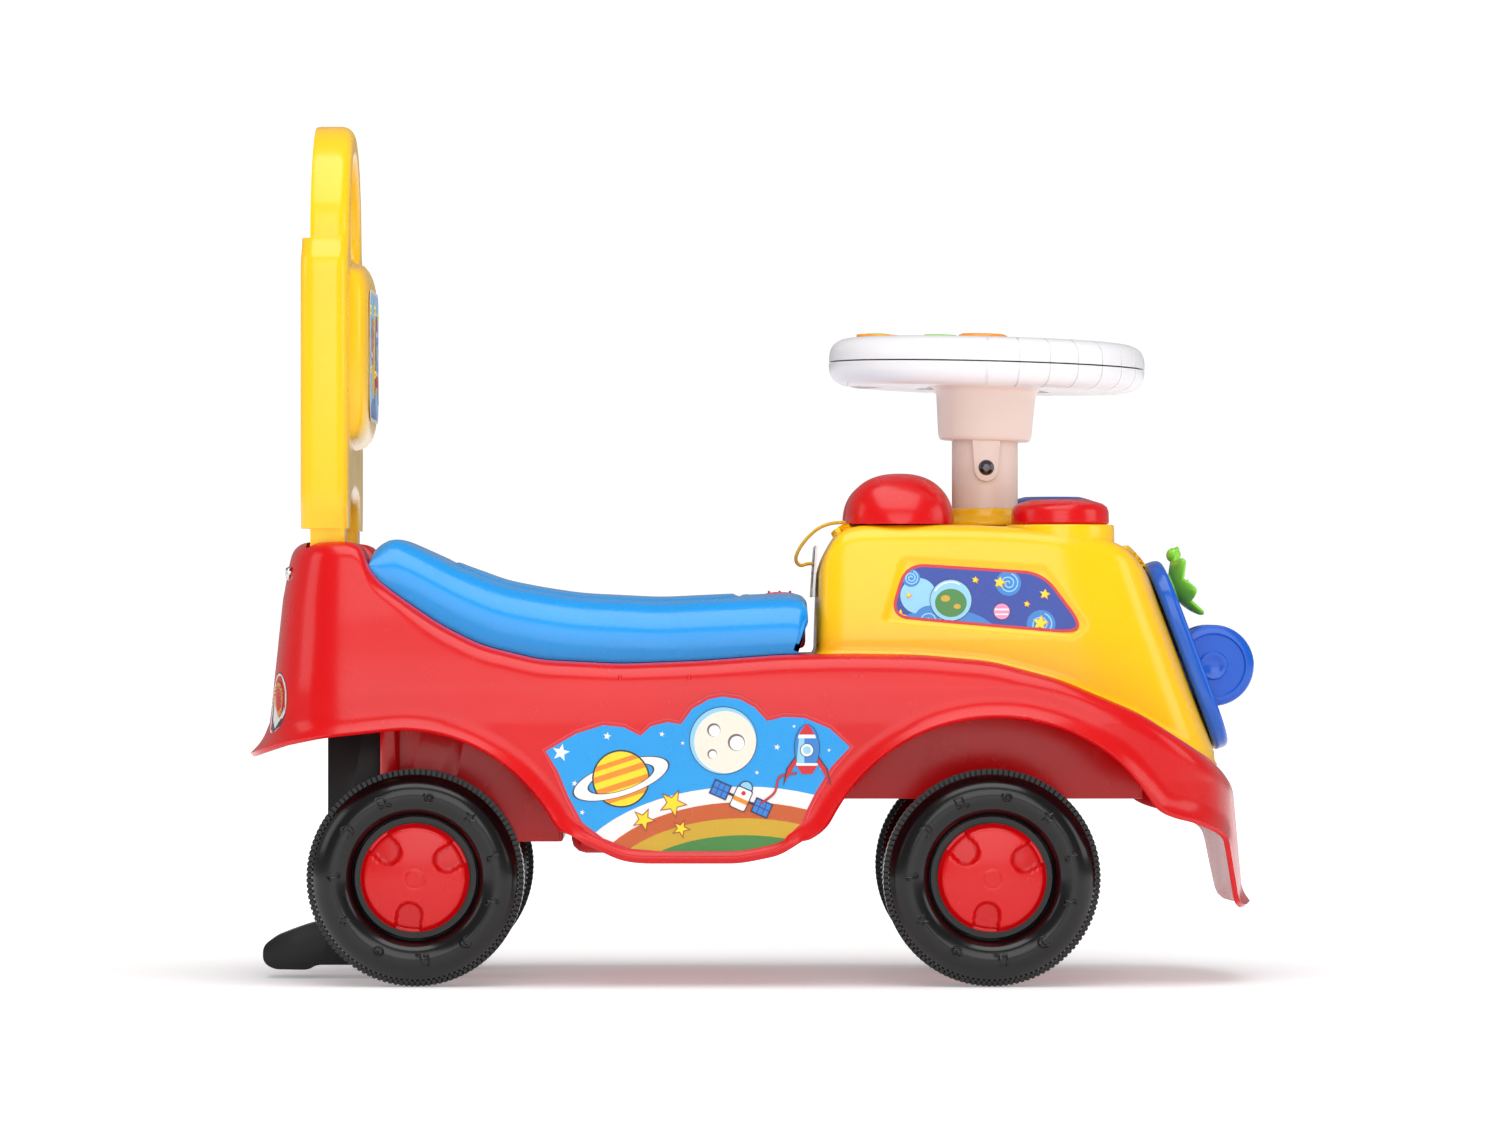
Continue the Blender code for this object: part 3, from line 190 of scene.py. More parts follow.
def spiral(centre, start_radius, end_radius, turns, steps=40):
    """Points of a flat spiral."""
    points = []
    for i in range(steps + 1):
        t = i / steps
        radius = start_radius + (end_radius - start_radius) * t
        angle = 2 * math.pi * turns * t
        points.append((centre[0] + radius * math.cos(angle), centre[1] + radius * math.sin(angle)))
    return points


def rounded_profile(points, reach, steps, closed=False):
    """A rounded outline as (radius, level) pairs."""
    return [tuple(p) for p in rounded(points, reach, steps, closed)]


def outward(side):
    """Turns a shape made on local Z so that Z points to one side of the car."""
    return Matrix.Rotation(math.radians(-90 * side), 4, "X")


def grown(outline, distance):
    """A closed outline moved outwards (or inwards where the distance is negative)."""
    points = [Vector(p) for p in outline]
    area = sum(a.x * b.y - b.x * a.y for a, b in zip(points, points[1:] + points[:1]))
    side = 1.0 if area > 0 else -1.0
    result = []
    for i, here in enumerate(points):
        ahead = (points[(i + 1) % len(points)] - points[i - 1]).normalized()
        result.append(here + Vector((ahead.y, -ahead.x)) * side * distance)
    return result


def along(outline, drive, step):
    """Stations along an outline, closer together where drive(point) changes fast."""
    fine = []
    for a, b in zip(outline, outline[1:]):
        cuts = max(1, int((b - a).length / 0.0004))
        fine += [a.lerp(b, k / cuts) for k in range(cuts)]
    fine.append(outline[-1])
    kept, travelled, last = [fine[0]], 0.0, drive(fine[0])
    for a, b in zip(fine, fine[1:]):
        now = drive(b)
        travelled += (b - a).length + (now - last).length
        last = now
        if travelled >= step:
            kept.append(b)
            travelled = 0.0
    return kept[:-1] + [fine[-1]]


def smooth_route(route, steps):
    """Catmull-Rom points through a route."""
    ends = [route[0]] + route + [route[-1]]
    points = []
    for a, b, c, d in zip(ends, ends[1:], ends[2:], ends[3:]):
        a, b, c, d = Vector(a), Vector(b), Vector(c), Vector(d)
        for i in range(steps):
            t = i / steps
            points.append(0.5 * (2 * b + (c - a) * t + (2 * a - 5 * b + 4 * c - d) * t * t
                + (3 * b - a - 3 * c + d) * t * t * t))
    return points + [Vector(route[-1])]


# ---- modelling steps --------------------------------------------------------------------------------
def clear_selection():
    """Leave edit mode and select nothing."""
    if bpy.context.mode != "OBJECT":
        bpy.ops.object.mode_set(mode="OBJECT")
    bpy.ops.object.select_all(action="DESELECT")


def pick(*pieces):
    """Select pieces and make the first one active."""
    clear_selection()
    for piece in pieces:
        piece.select_set(True)
    bpy.context.view_layer.objects.active = pieces[0]


def merge(piece, distance=MERGE):
    """Merge doubled corners."""
    pick(piece)
    bpy.ops.object.mode_set(mode="EDIT")
    bpy.ops.mesh.select_all(action="SELECT")
    bpy.ops.mesh.remove_doubles(threshold=distance)
    bpy.ops.object.mode_set(mode="OBJECT")
    return piece


def clean(piece, distance=0.00001):
    """Merge doubled corners and turn the faces of a closed shape outwards."""
    merge(piece, distance)
    bpy.ops.object.mode_set(mode="EDIT")
    bpy.ops.mesh.select_all(action="SELECT")
    bpy.ops.mesh.normals_make_consistent(inside=False)
    bpy.ops.object.mode_set(mode="OBJECT")
    return piece


def modify(piece, kind, **settings):
    """Add one modifier and apply it."""
    pick(piece)
    bpy.ops.object.modifier_add(type=kind)
    modifier = piece.modifiers[-1]
    for key, value in settings.items():
        setattr(modifier, key, value)
    bpy.ops.object.modifier_apply(modifier=modifier.name)
    return piece


def soften(piece, width, segments=3, angle=40.0):
    """Round the edges sharper than an angle."""
    return modify(piece, "BEVEL", width=width, segments=segments, limit_method="ANGLE",
        angle_limit=math.radians(angle), miter_outer="MITER_ARC")


def combine(piece, tool, operation="DIFFERENCE"):
    """Cut a tool out of a piece, or use it otherwise; the tool is then removed."""
    modify(piece, "BOOLEAN", operation=operation, object=tool, solver="EXACT")
    bpy.data.objects.remove(tool)
    return piece


def join(name, *pieces):
    """One named piece from several meshes."""
    pick(*pieces)
    bpy.ops.object.join()
    pieces[0].name = name
    return pieces[0]


def moved(piece, matrix):
    """Move the points of a piece by a matrix."""
    piece.data.transform(matrix)
    return piece


def thicken(piece, thickness=WALL, offset=-1.0):
    """Give a skin its wall."""
    return modify(piece, "SOLIDIFY", thickness=thickness, offset=offset, use_even_offset=False)


def whole_shell(half):
    """The other side of a half skin, then its wall."""
    modify(half, "MIRROR", use_axis=(False, True, False), use_clip=False, merge_threshold=MERGE)
    return thicken(merge(half))


def mirrored(piece, name):
    """A copy with its own mesh on the other side of the car."""
    copy = piece.copy()
    copy.data = piece.data.copy()
    copy.name = name
    bpy.context.scene.collection.objects.link(copy)
    copy.data.transform(Matrix.Scale(-1, 4, (0, 1, 0)))
    copy.data.flip_normals()
    return copy


def skin(name, columns, rows, place):
    """A grid primitive whose corners are moved to place(column, row)."""
    clear_selection()
    bpy.ops.mesh.primitive_grid_add(x_subdivisions=columns - 1, y_subdivisions=rows - 1, size=1)
    piece = bpy.context.object
    piece.name = name
    for index, vertex in enumerate(piece.data.vertices):
        vertex.co = place(index % columns, index // columns)
    return piece


def slab(name, outline, low, high, axis="Y"):
    """A closed outline made solid between two levels of an axis."""
    order = {"X": lambda a, b: (low, a, b), "Y": lambda a, b: (a, low, b), "Z": lambda a, b: (a, b, low)}
    reach = Vector([(high - low) * (letter == axis) for letter in "XYZ"])
    clear_selection()
    bpy.ops.mesh.primitive_circle_add(vertices=len(outline), fill_type="NGON")
    piece = bpy.context.object
    piece.name = name
    for vertex, (a, b) in zip(piece.data.vertices, outline):
        vertex.co = order[axis](a, b)
    bpy.ops.object.mode_set(mode="EDIT")
    bpy.ops.mesh.select_all(action="SELECT")
    bpy.ops.mesh.extrude_region_move(TRANSFORM_OT_translate={"value": reach})
    bpy.ops.mesh.select_all(action="SELECT")
    bpy.ops.mesh.normals_make_consistent(inside=False)
    bpy.ops.object.mode_set(mode="OBJECT")
    return piece


def block(name, low, high):
    """Box between two corners."""
    outline = box_outline(low[0], low[2], high[0], high[2])
    return slab(name, outline, low[1], high[1], "Y")


def turned(name, profile, segments, centre, axis="Z"):
    """A closed profile of (radius, level) spun about an axis through centre."""
    clear_selection()
    bpy.ops.mesh.primitive_circle_add(vertices=len(profile), fill_type="NOTHING")
    piece = bpy.context.object
    piece.name = name
    for vertex, (radius, level) in zip(piece.data.vertices, profile):
        vertex.co = (radius, 0, level)
    bpy.ops.object.mode_set(mode="EDIT")
    bpy.ops.mesh.select_all(action="SELECT")
    bpy.ops.mesh.spin(steps=segments, angle=2 * math.pi, center=(0, 0, 0), axis=(0, 0, 1))
    bpy.ops.mesh.select_all(action="SELECT")
    bpy.ops.mesh.remove_doubles(threshold=0.000002)
    bpy.ops.mesh.dissolve_degenerate(threshold=0.000001)
    bpy.ops.mesh.delete_loose()
    bpy.ops.mesh.select_all(action="SELECT")
    bpy.ops.mesh.normals_make_consistent(inside=False)
    bpy.ops.object.mode_set(mode="OBJECT")
    turn = {"X": Matrix.Rotation(math.radians(90), 4, "Y"), "Y": Matrix.Rotation(math.radians(-90), 4,
        "X"), "Z": Matrix.Identity(4)}[axis]
    return moved(piece, Matrix.Translation(centre) @ turn)


def ring(name, inner, outer, low, high, segments, centre, axis="Z", edge=0.0004):
    """Tube with square ends round an axis."""
    loop = box_outline(inner, low, outer, high, edge, 3)
    return turned(name, loop, segments, centre, axis)


def tube(name, points, radius, sides=10):
    """A round bar along points, as a grid wrapped round them and closed at both ends."""
    points = [Vector(p) for p in points]
    frames, normal = [], None
    for i, here in enumerate(points):
        ahead = (points[min(i + 1, len(points) - 1)] - points[max(i - 1, 0)]).normalized()
        normal = normal or ahead.orthogonal()
        normal = (normal - ahead * normal.dot(ahead)).normalized()
        frames.append((here, normal, ahead.cross(normal)))

    def place(column, row):
        here, first, second = frames[clamp(column - 1, 0, len(points) - 1)]
        angle = 2 * math.pi * row / sides
        width = 0.0 if column in (0, len(points) + 1) else radius
        return here + (first * math.cos(angle) + second * math.sin(angle)) * width

    return clean(skin(name, len(points) + 2, sides + 1, place), 0.000002)


# ---- finishes -----------------------------------------------------------------------------------------
FINISHES = {
    # name: (setting with its colour, roughness, coat, colour variation, grain, metallic)
    "red_gloss": ("red", 0.26, 0.15, 0.05, 0.015, 0.0),
    "yellow_gloss": ("yellow", 0.26, 0.30, 0.04, 0.015, 0.0),
    "sky_gloss": ("sky", 0.27, 0.30, 0.04, 0.015, 0.0),
    "blue_gloss": ("deep_blue", 0.24, 0.35, 0.05, 0.015, 0.0),
    "white_satin": ("white", 0.32, 0.20, 0.02, 0.020, 0.0),
    # Cream of the column; on the steering wheel's socket this cream is painted warm reflection on white
    # plastic.
    "cream_satin": ("cream", 0.34, 0.15, 0.03, 0.020, 0.0),
    "green_gloss": ("green", 0.24, 0.35, 0.06, 0.015, 0.0),
    "orange_gloss": ("orange", 0.26, 0.30, 0.04, 0.015, 0.0),
    "tyre_black": ("black", 0.22, 0.20, 0.10, 0.010, 0.0),
    "moulded_black": ("black", 0.40, 0.05, 0.12, 0.050, 0.0),
    "bright_steel": ("steel", 0.28, 0.00, 0.10, 0.030, 1.0),
    "dark_steel": ("cell", 0.25, 0.00, 0.10, 0.030, 1.0),
    "circuit_board": ("circuit", 0.40, 0.20, 0.15, 0.060, 0.0),
    "cell_wrap": ("cell", 0.30, 0.30, 0.05, 0.010, 0.0),
}
INKS = {"sky": "1296DE", "white": "ECE6E4", "red": "C8202C", "navy": "1B3C9A", "mid_blue": "2E7CC8",
        "pale_blue": "8CC8EC", "orange": "C0561E", "ochre": "C8A020", "green": "3F8038",
        "yellow": "F2D41C", "amber": "E08A1C", "pink": "E48AB4", "grey": "6C6468", "dark": "2A2430",
        "cream": "EADFD0", "red_edge": "DC4A50"}


def group_of(name, inputs, outputs):
    """An empty shader node group with those sockets."""
    group = bpy.data.node_groups.new(name, "ShaderNodeTree")
    for kind, direction in ((inputs, "INPUT"), (outputs, "OUTPUT")):
        for label, socket_type, value in kind:
            socket = group.interface.new_socket(name=label, in_out=direction, socket_type=socket_type)
            if value is not None:
                socket.default_value = value
    return group


def moulded_surface():
    """Shared group: slow colour drift, roughness drift and fine grain of moulded plastic."""
    group = bpy.data.node_groups.get("moulded_surface")
    if group:
        return group
    group = group_of("moulded_surface", [("Colour", "NodeSocketColor", None), ("Drift", "NodeSocketFloat",
        0.05), ("Grain", "NodeSocketFloat", 0.02), ("Roughness", "NodeSocketFloat", 0.25)],
        [("Colour", "NodeSocketColor", None), ("Roughness", "NodeSocketFloat", None),
        ("Normal", "NodeSocketVector", None)])
    nodes, links = group.nodes, group.links
    entry, leave = nodes.new("NodeGroupInput"), nodes.new("NodeGroupOutput")
    place = nodes.new("ShaderNodeTexCoord")

    def noise(scale, detail):
        texture = nodes.new("ShaderNodeTexNoise")
        texture.inputs["Scale"].default_value = scale
        texture.inputs["Detail"].default_value = detail
        links.new(place.outputs["Object"], texture.inputs["Vector"])
        return texture.outputs["Fac"]

    def math_node(operation, first, second):
        node = nodes.new("ShaderNodeMath")
        node.operation = operation
        for socket, value in zip(node.inputs, (first, second)):
            if isinstance(value, float):
                socket.default_value = value
            else:
                links.new(value, socket)
        return node.outputs[0]

    slow, fine, smudge = noise(14.0, 2.0), noise(1500.0, 2.0), noise(60.0, 4.0)
    centred = math_node("SUBTRACT", slow, 0.5)
    shade = math_node("MULTIPLY", centred, entry.outputs["Drift"])
    bright = math_node("MULTIPLY_ADD", shade, 4.0)
    bright.node.inputs[2].default_value = 1.0
    tint = nodes.new("ShaderNodeHueSaturation")
    links.new(entry.outputs["Colour"], tint.inputs["Color"])
    links.new(bright, tint.inputs["Value"])
    links.new(tint.outputs["Color"], leave.inputs["Colour"])
    spread = math_node("MULTIPLY", math_node("SUBTRACT", smudge, 0.5), 0.12)
    links.new(math_node("ADD", entry.outputs["Roughness"], spread), leave.inputs["Roughness"])
    bump = nodes.new("ShaderNodeBump")
    bump.inputs["Distance"].default_value = 0.0002
    links.new(entry.outputs["Grain"], bump.inputs["Strength"])
    links.new(fine, bump.inputs["Height"])
    links.new(bump.outputs["Normal"], leave.inputs["Normal"])
    return group


def new_material(name, colour, roughness, coat, drift, grain, metallic):
    """A Principled surface fed by the shared moulded_surface group."""
    material = bpy.data.materials.new(name)
    material.use_nodes = True
    material.diffuse_color = (*colour, 1.0)
    nodes, links = material.node_tree.nodes, material.node_tree.links
    shader = nodes["Principled BSDF"]
    surface = nodes.new("ShaderNodeGroup")
    surface.node_tree = moulded_surface()
    surface.inputs["Colour"].default_value = (*colour, 1.0)
    surface.inputs["Drift"].default_value = drift
    surface.inputs["Grain"].default_value = grain
    surface.inputs["Roughness"].default_value = roughness
    links.new(surface.outputs["Colour"], shader.inputs["Base Color"])
    links.new(surface.outputs["Roughness"], shader.inputs["Roughness"])
    links.new(surface.outputs["Normal"], shader.inputs["Normal"])
    shader.inputs["Metallic"].default_value = metallic
    shader.inputs["Coat Weight"].default_value = coat
    shader.inputs["Coat Roughness"].default_value = 0.12
    shader.inputs["Specular IOR Level"].default_value = 0.36
    shader.inputs["IOR"].default_value = 1.48
    return material


def finish_of(name):
    """The material of a moulded finish or a printed ink, made the first time it is asked for."""
    material = bpy.data.materials.get(name)
    if material:
        return material
    if name.startswith("ink_"):
        return new_material(name, linear(INKS[name[4:]]), 0.28, 0.25, 0.04, 0.01, 0.0)
    setting, roughness, coat, drift, grain, metallic = FINISHES[name]
    colour = tuple(getattr(bpy.context.scene.push_car_colours, setting))
    return new_material(name, colour, roughness, coat, drift, grain, metallic)


def finish(piece, body, material=None, angle=35.0, replaces=()):
    """Smooth a finished piece, give it its material and let it ride on its body."""
    if material:
        piece.data.materials.clear()
        piece.data.materials.append(finish_of(material))
    pick(piece)
    bpy.ops.object.shade_smooth_by_angle(angle=math.radians(angle))
    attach(piece, body)
    if replaces:
        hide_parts(*replaces)
    return piece


def finish_node(node, material):
    """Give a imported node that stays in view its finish."""
    thing = frame["nodes"][node]
    for slot in thing.material_slots:
        slot.link = "OBJECT"
        slot.material = finish_of(material)


def decal(name, place, layers, clip=None):
    """Thin printed shapes stacked on a sheet; place takes (across, up, out) to the car.

    Each layer is (ink, outline, clipped); a clipped one is cut to the clip outline.
    """
    prints = []
    step = min(0.00004, 0.0006 / len(layers))
    for level, (ink, outline, clipped) in enumerate(layers):
        high = step * (level + 1)
        shape = slab(f"{name}_{level}", outline, -0.0002, high, "Z")
        if clipped:
            combine(shape, slab("clip", clip, -0.001, 0.002, "Z"), "INTERSECT")
        shape.data.materials.clear()
        shape.data.materials.append(finish_of("ink_" + ink))
        prints.append(shape)
    return moved(join(name, *prints), place)


# ---- body ------------------------------------------------------------------------------------------
LOW_EDGE = rounded([(BODY_REAR_X, 0.1272), (-0.2625, 0.1344), (-0.2405, 0.1388)] + arc((-0.196, 0.0464),
    0.097, 90, 26, 14) + [(-0.0972, 0.0804), (-0.0752, 0.0700), (-0.0642, 0.0683), (-0.0090, 0.0683),
    (0.0130, 0.0727), (0.0240, 0.0799)] + arc((0.1325, 0.0464), 0.104, 156, 30, 20) + [(0.2333, 0.0943),
    (0.2444, 0.0920), (0.2609, 0.0838), (0.2655, 0.0430), (BODY_FRONT_X, 0.0430)], 0.006, 3)
DECK_LINE = rounded(DECK, 0.008, 4)
REAR_TURN_X, NOSE_TURN_X = -0.2300, 0.2000


def deck_height(x, y):
    """Height of the deck, with the low saddle between the backrest's sockets."""
    z = look_up(DECK_LINE, x)
    between = 1.0 - ease(abs(y), 0.0400, 0.0475)
    return z + (min(z, SADDLE_Z) - z) * between


def body_point(px, py, z):
    """Point of the body's side over a point of its plan outline."""
    x = px
    if px < REAR_TURN_X:
        share = (look_up(TAIL, z) - REAR_TURN_X) / (BODY_REAR_X - REAR_TURN_X)
        x = REAR_TURN_X + (px - REAR_TURN_X) * share
    elif px > NOSE_TURN_X:
        share = (look_up(NOSE, z) - NOSE_TURN_X) / (BODY_FRONT_X - NOSE_TURN_X)
        x = NOSE_TURN_X + (px - NOSE_TURN_X) * share
    return Vector((x, py * look_up(BODY_SECTION, z) / BODY_HALF_WIDTH, z))


def edge_distance(x, z):
    """Distance of a point of the side from the body's lower edge, seen from the side."""
    here, best = Vector((x, z)), 1.0
    for a, b in zip(LOW_EDGE, LOW_EDGE[1:]):
        if a.x - 0.014 < x < b.x + 0.014:
            run = b - a
            t = clamp((here - a).dot(run) / max(run.length_squared, 1e-12))
            best = min(best, (a + run * t - here).length)
    return best


def edge_swell(x, z, flare, flare_width, bead):
    """How far the side stands out near its lower edge: a flare round the arches, a bead at the sill."""
    distance = edge_distance(x, z)
    sill = ease(x, -0.108, -0.086) * (1.0 - ease(x, 0.012, 0.030))
    swell = flare * (1.0 - clamp(distance / flare_width)) ** 2
    roll = bead * math.sqrt(max(0.0,
        1.0 - ((distance - bead) / bead) ** 2)) if distance < 2 * bead else 0.0
    return swell * (1.0 - sill) + roll * sill


def ridge_positions(stations, rear, front):
    """Where the row from each station meets the centre line, spread out from rear to front."""
    travelled = [0.0]
    for a, b in zip(stations, stations[1:]):
        travelled.append(travelled[-1] + (b - a).length)
    return [rear + (front - rear) * distance / travelled[-1] for distance in travelled]


def make_body(sizes):
    """Hollow body shell with its openings."""
    plan = rounded(BODY_PLAN, 0.020, 6)

    def drive(point):
        return Vector((look_up(DECK_LINE, point.x), look_up(LOW_EDGE, point.x)))

    stations = along(plan, drive, 0.0028)
    near_edge = [0.0, 0.0006, 0.0012, 0.0020, 0.0030, 0.0041, 0.0054, 0.0070, 0.0088, 0.0108]
    side_rows, fillet_rows, deck_rows = 14, 8, 26
    ridge = ridge_positions(stations, BODY_REAR_X + 0.030, BODY_FRONT_X - 0.018)
    rows_of = []
    for i, point in enumerate(stations):
        ahead = (stations[min(i + 1, len(stations) - 1)] - stations[max(i - 1, 0)]).normalized()
        out = Vector((ahead.y, -ahead.x, 0.0))
        if i in (0, len(stations) - 1):
            out = Vector((-1.0 if i == 0 else 1.0, 0.0, 0.0))
        low = look_up(LOW_EDGE, point.x)
        high = deck_height(point.x, point.y)
        for _ in range(4):
            corner = body_point(point.x, point.y, high)
            high = deck_height(corner.x, corner.y)
        corner = body_point(point.x, point.y, high)
        fillet = sizes.deck_fillet
        start_z = high - fillet
        squeeze = min(1.0, (start_z - low) * 0.5 / near_edge[-1])
        levels = [low + d * squeeze for d in near_edge]
        last = levels[-1]
        levels += [last + (start_z - last) * (k + 1) / side_rows for k in range(side_rows)]
        column = []
        for z in levels:
            side = body_point(point.x, point.y, z)
            side += out * edge_swell(point.x, z, sizes.arch_flare, sizes.arch_flare_width,
                sizes.sill_bead)
            column.append(side)
        start = column[-1]
        end = corner - out * fillet
        if point.y > -0.0001 or end.y > 0.0:
            end.y = 0.0
        end.z = deck_height(end.x, end.y)
        for k in range(1, fillet_rows + 1):
            t = k / fillet_rows
            column.append((1 - t) ** 2 * start + 2 * t * (1 - t) * corner + t * t * end)
        for k in range(1, deck_rows + 1):
            x, y = end.x + (ridge[i] - end.x) * k / deck_rows, end.y * (1 - k / deck_rows)
            column.append(Vector((x, y, deck_height(x, y))))
        if i in (0, len(stations) - 1):
            column = [Vector((p.x, 0.0, p.z)) for p in column]
        rows_of.append(column)

    body = skin("body", len(stations), len(rows_of[0]), lambda i, j: rows_of[i][j])
    whole_shell(body)
    soften(body, sizes.rim_round, 2, 62.0)

    combine(body, turned("column_hole", box_outline(0.0, 0.14, 0.0158, 0.20), 48, (STEER_X, 0, 0)))
    combine(body, block("tub_opening", (-0.100, -0.060, 0.14), (-0.012, 0.060, 0.20)))
    for side in (-1, 1):
        y = side * LEG_Y
        pocket = slab("pocket", box_outline(-0.2500, y - 0.0180, -0.2262, y + 0.0180, 0.004), 0.2330,
            0.26, "Z")
        combine(body, pocket)
    return body


def wheel_wall(side, x_low, x_high, low, top_line, lobe):
    """Inner wall beside the wheels."""
    outline = [(x_low, low)] + lobe + [(x_high, low)] + top_line
    y = side * 0.045
    return slab("wheel_wall", outline, y - WALL / 2, y + WALL / 2, "Y")


def make_body_inside():
    """Storage tub, wheel walls, axle lobes, socket pillars and seat hinge lugs."""
    tub = block("tub", (-0.103, -0.063, 0.072), (-0.009, 0.063, 0.1765))
    hollow = block("tub_hollow", (-0.100, -0.060, 0.075), (-0.012, 0.060, 0.19))
    soften(hollow, 0.006, 3)
    soften(tub, 0.008, 3)
    parts = [combine(tub, hollow)]
    for side in (-1, 1):
        rear_top = [(x, look_up(DECK, x) - 0.0015) for x in (-0.110, -0.1523, -0.1744, -0.2075)]
        lobe = arc((REAR_AXLE_X, WHEEL_RADIUS), 0.013, 180, 360, 20)
        lobe = [(REAR_AXLE_X - 0.013, 0.078)] + lobe + [(REAR_AXLE_X + 0.013, 0.078)]
        parts.append(wheel_wall(side, -0.2075, -0.110, 0.078, rear_top, lobe))
        front_top = [(x, look_up(DECK, x) - 0.0015) for x in (0.215, 0.1672, 0.130, 0.090, 0.040)]
        parts.append(wheel_wall(side, 0.040, 0.215, 0.102, front_top, []))
        pillar = slab("pillar", box_outline(-0.2105, side * 0.046 - 0.006, -0.1995, side * 0.046 + 0.006,
            0.005, 6), 0.076, 0.212, "Z")
        parts.append(pillar)
        lug = [(-0.2039, 0.2190)] + arc((-0.2075, 0.2375), 0.0036, 0, 180, 10) + [(-0.2111, 0.2215)]
        low, high = sorted((side * 0.030, side * 0.036))
        parts.append(slab("hinge_lug", lug, low, high, "Y"))
        for x in (-0.075, -0.037):
            rib = slab("rib", [(x - 0.001, 0.076), (x + 0.001, 0.076), (x + 0.001, 0.172),
                (x - 0.001, 0.172)], *sorted((side * 0.0625, side * 0.1155)), "Y")
            parts.append(rib)
    parts.append(block("rear_cross", (-0.2090, -0.045, 0.078), (-0.2060, 0.045, 0.2215)))
    parts.append(block("tub_cross", (-0.1115, -0.045, 0.078), (-0.1085, 0.045, 0.1780)))
    parts.append(block("nose_cross", (0.2135, -0.045, 0.102), (0.2165, 0.045, 0.1480)))
    for part in parts[1:]:
        soften(part, 0.0006, 2)
    return join("body_inside", *parts)


STICKER_MM = [(-115.8, 130.1), (-99.0, 139.8), (-84.2, 144.4), (-72.8, 143.2), (-63.7, 138.5),
    (-58.0, 143.8), (-48.9, 146.1), (-41.5, 144.9), (-35.2, 153.5), (-26.1, 158.6), (-18.7, 160.1),
    (-9.0, 158.6), (-1.0, 154.1), (5.8, 146.7), (14.9, 148.9), (26.3, 148.4), (40.0, 142.7),
    (51.4, 132.4), (41.1, 121.6), (32.0, 106.8), (27.5, 97.7), (24.0, 88.6), (16.1, 80.6), (7.0, 76.6),
    (-7.9, 74.7), (-42.0, 74.3), (-69.4, 76.6), (-84.2, 82.3), (-95.6, 90.8), (-103.0, 104.5),
    (-109.2, 119.3)]


def in_mm(points):
    """Turn points given in millimetres into metres."""
    return [(a * MM, b * MM) for a, b in points]


def rocket(across, up, size):
    """A plain round-nosed rocket, as print layers."""
    def part(points):
        return [(across + a * size, up + b * size) for a, b in points]
    hull = part(arc((0, 0.1), 0.235, -70, 250, 30, 1.9))
    return [("dark", part([(-0.46, -0.62), (-0.16, -0.10), (0.16, -0.10), (0.46, -0.62), (0.40, -0.30),
        (0.12, 0.10), (-0.12, 0.10), (-0.40, -0.30)]), False),
        ("red", part([(-0.43, -0.56), (-0.17, -0.14), (0.17, -0.14), (0.43, -0.56), (0.37, -0.30),
        (0.12, 0.06), (-0.12, 0.06), (-0.37, -0.30)]), False), ("dark", grown(hull, 0.012 * size), False),
        ("mid_blue", hull, False), ("pale_blue", part([(-0.20, -0.20), (-0.05, -0.32), (-0.05, 0.45),
        (-0.15, 0.34)]), False), ("red", part([(-0.155, 0.35), (0.155, 0.35), (0.07, 0.50), (0.0, 0.57),
        (-0.07, 0.50)]), False), ("white", part([(-0.175, 0.29), (0.175, 0.29), (0.155, 0.36),
        (-0.155, 0.36)]), False), ("red", part([(-0.20, -0.24), (0.20, -0.24), (0.10, -0.40),
        (-0.10, -0.40)]), False), ("white", part([(-0.21, -0.19), (0.21, -0.19), (0.20, -0.24),
        (-0.20, -0.24)]), False), ("dark", part(disc((0, 0.06), 0.135)), False),
        ("white", part(disc((0, 0.06), 0.120)), False), ("pale_blue", part(disc((0, 0.06), 0.078)),
        False)]


def ringed_planet(across, up, radius, body_ink, band_ink, ring_ink, tilt=20.0):
    """A striped planet with a ring, as print layers."""
    turn = Matrix.Rotation(math.radians(tilt), 2)

    def part(points):
        return [tuple(Vector((across, up)) + turn @ Vector((a * radius, b * radius))) for a, b in points]
    layers = [("dark", part(band((0, 0), 1.22, 1.86, 0, 180, 30, 0.34)), False),
        (ring_ink, part(band((0, 0), 1.28, 1.80, 0, 180, 30, 0.34)), False),
        ("dark", part(disc((0, 0), 1.06)), False), (body_ink, part(disc((0, 0), 1.0)), False)]
    for low, high in ((0.52, 0.70), (0.12, 0.34), (-0.34, -0.12), (-0.74, -0.58)):
        ends = [math.sqrt(1 - level * level) * 0.995 for level in (low, high)]
        layers.append((band_ink, part([(-ends[0], low), (ends[0], low), (ends[1], high),
            (-ends[1], high)]), False))
    layers += [("dark", part(band((0, 0), 1.22, 1.86, 180, 360, 30, 0.34)), False),
        (ring_ink, part(band((0, 0), 1.28, 1.80, 180, 360, 30, 0.34)), False)]
    return layers


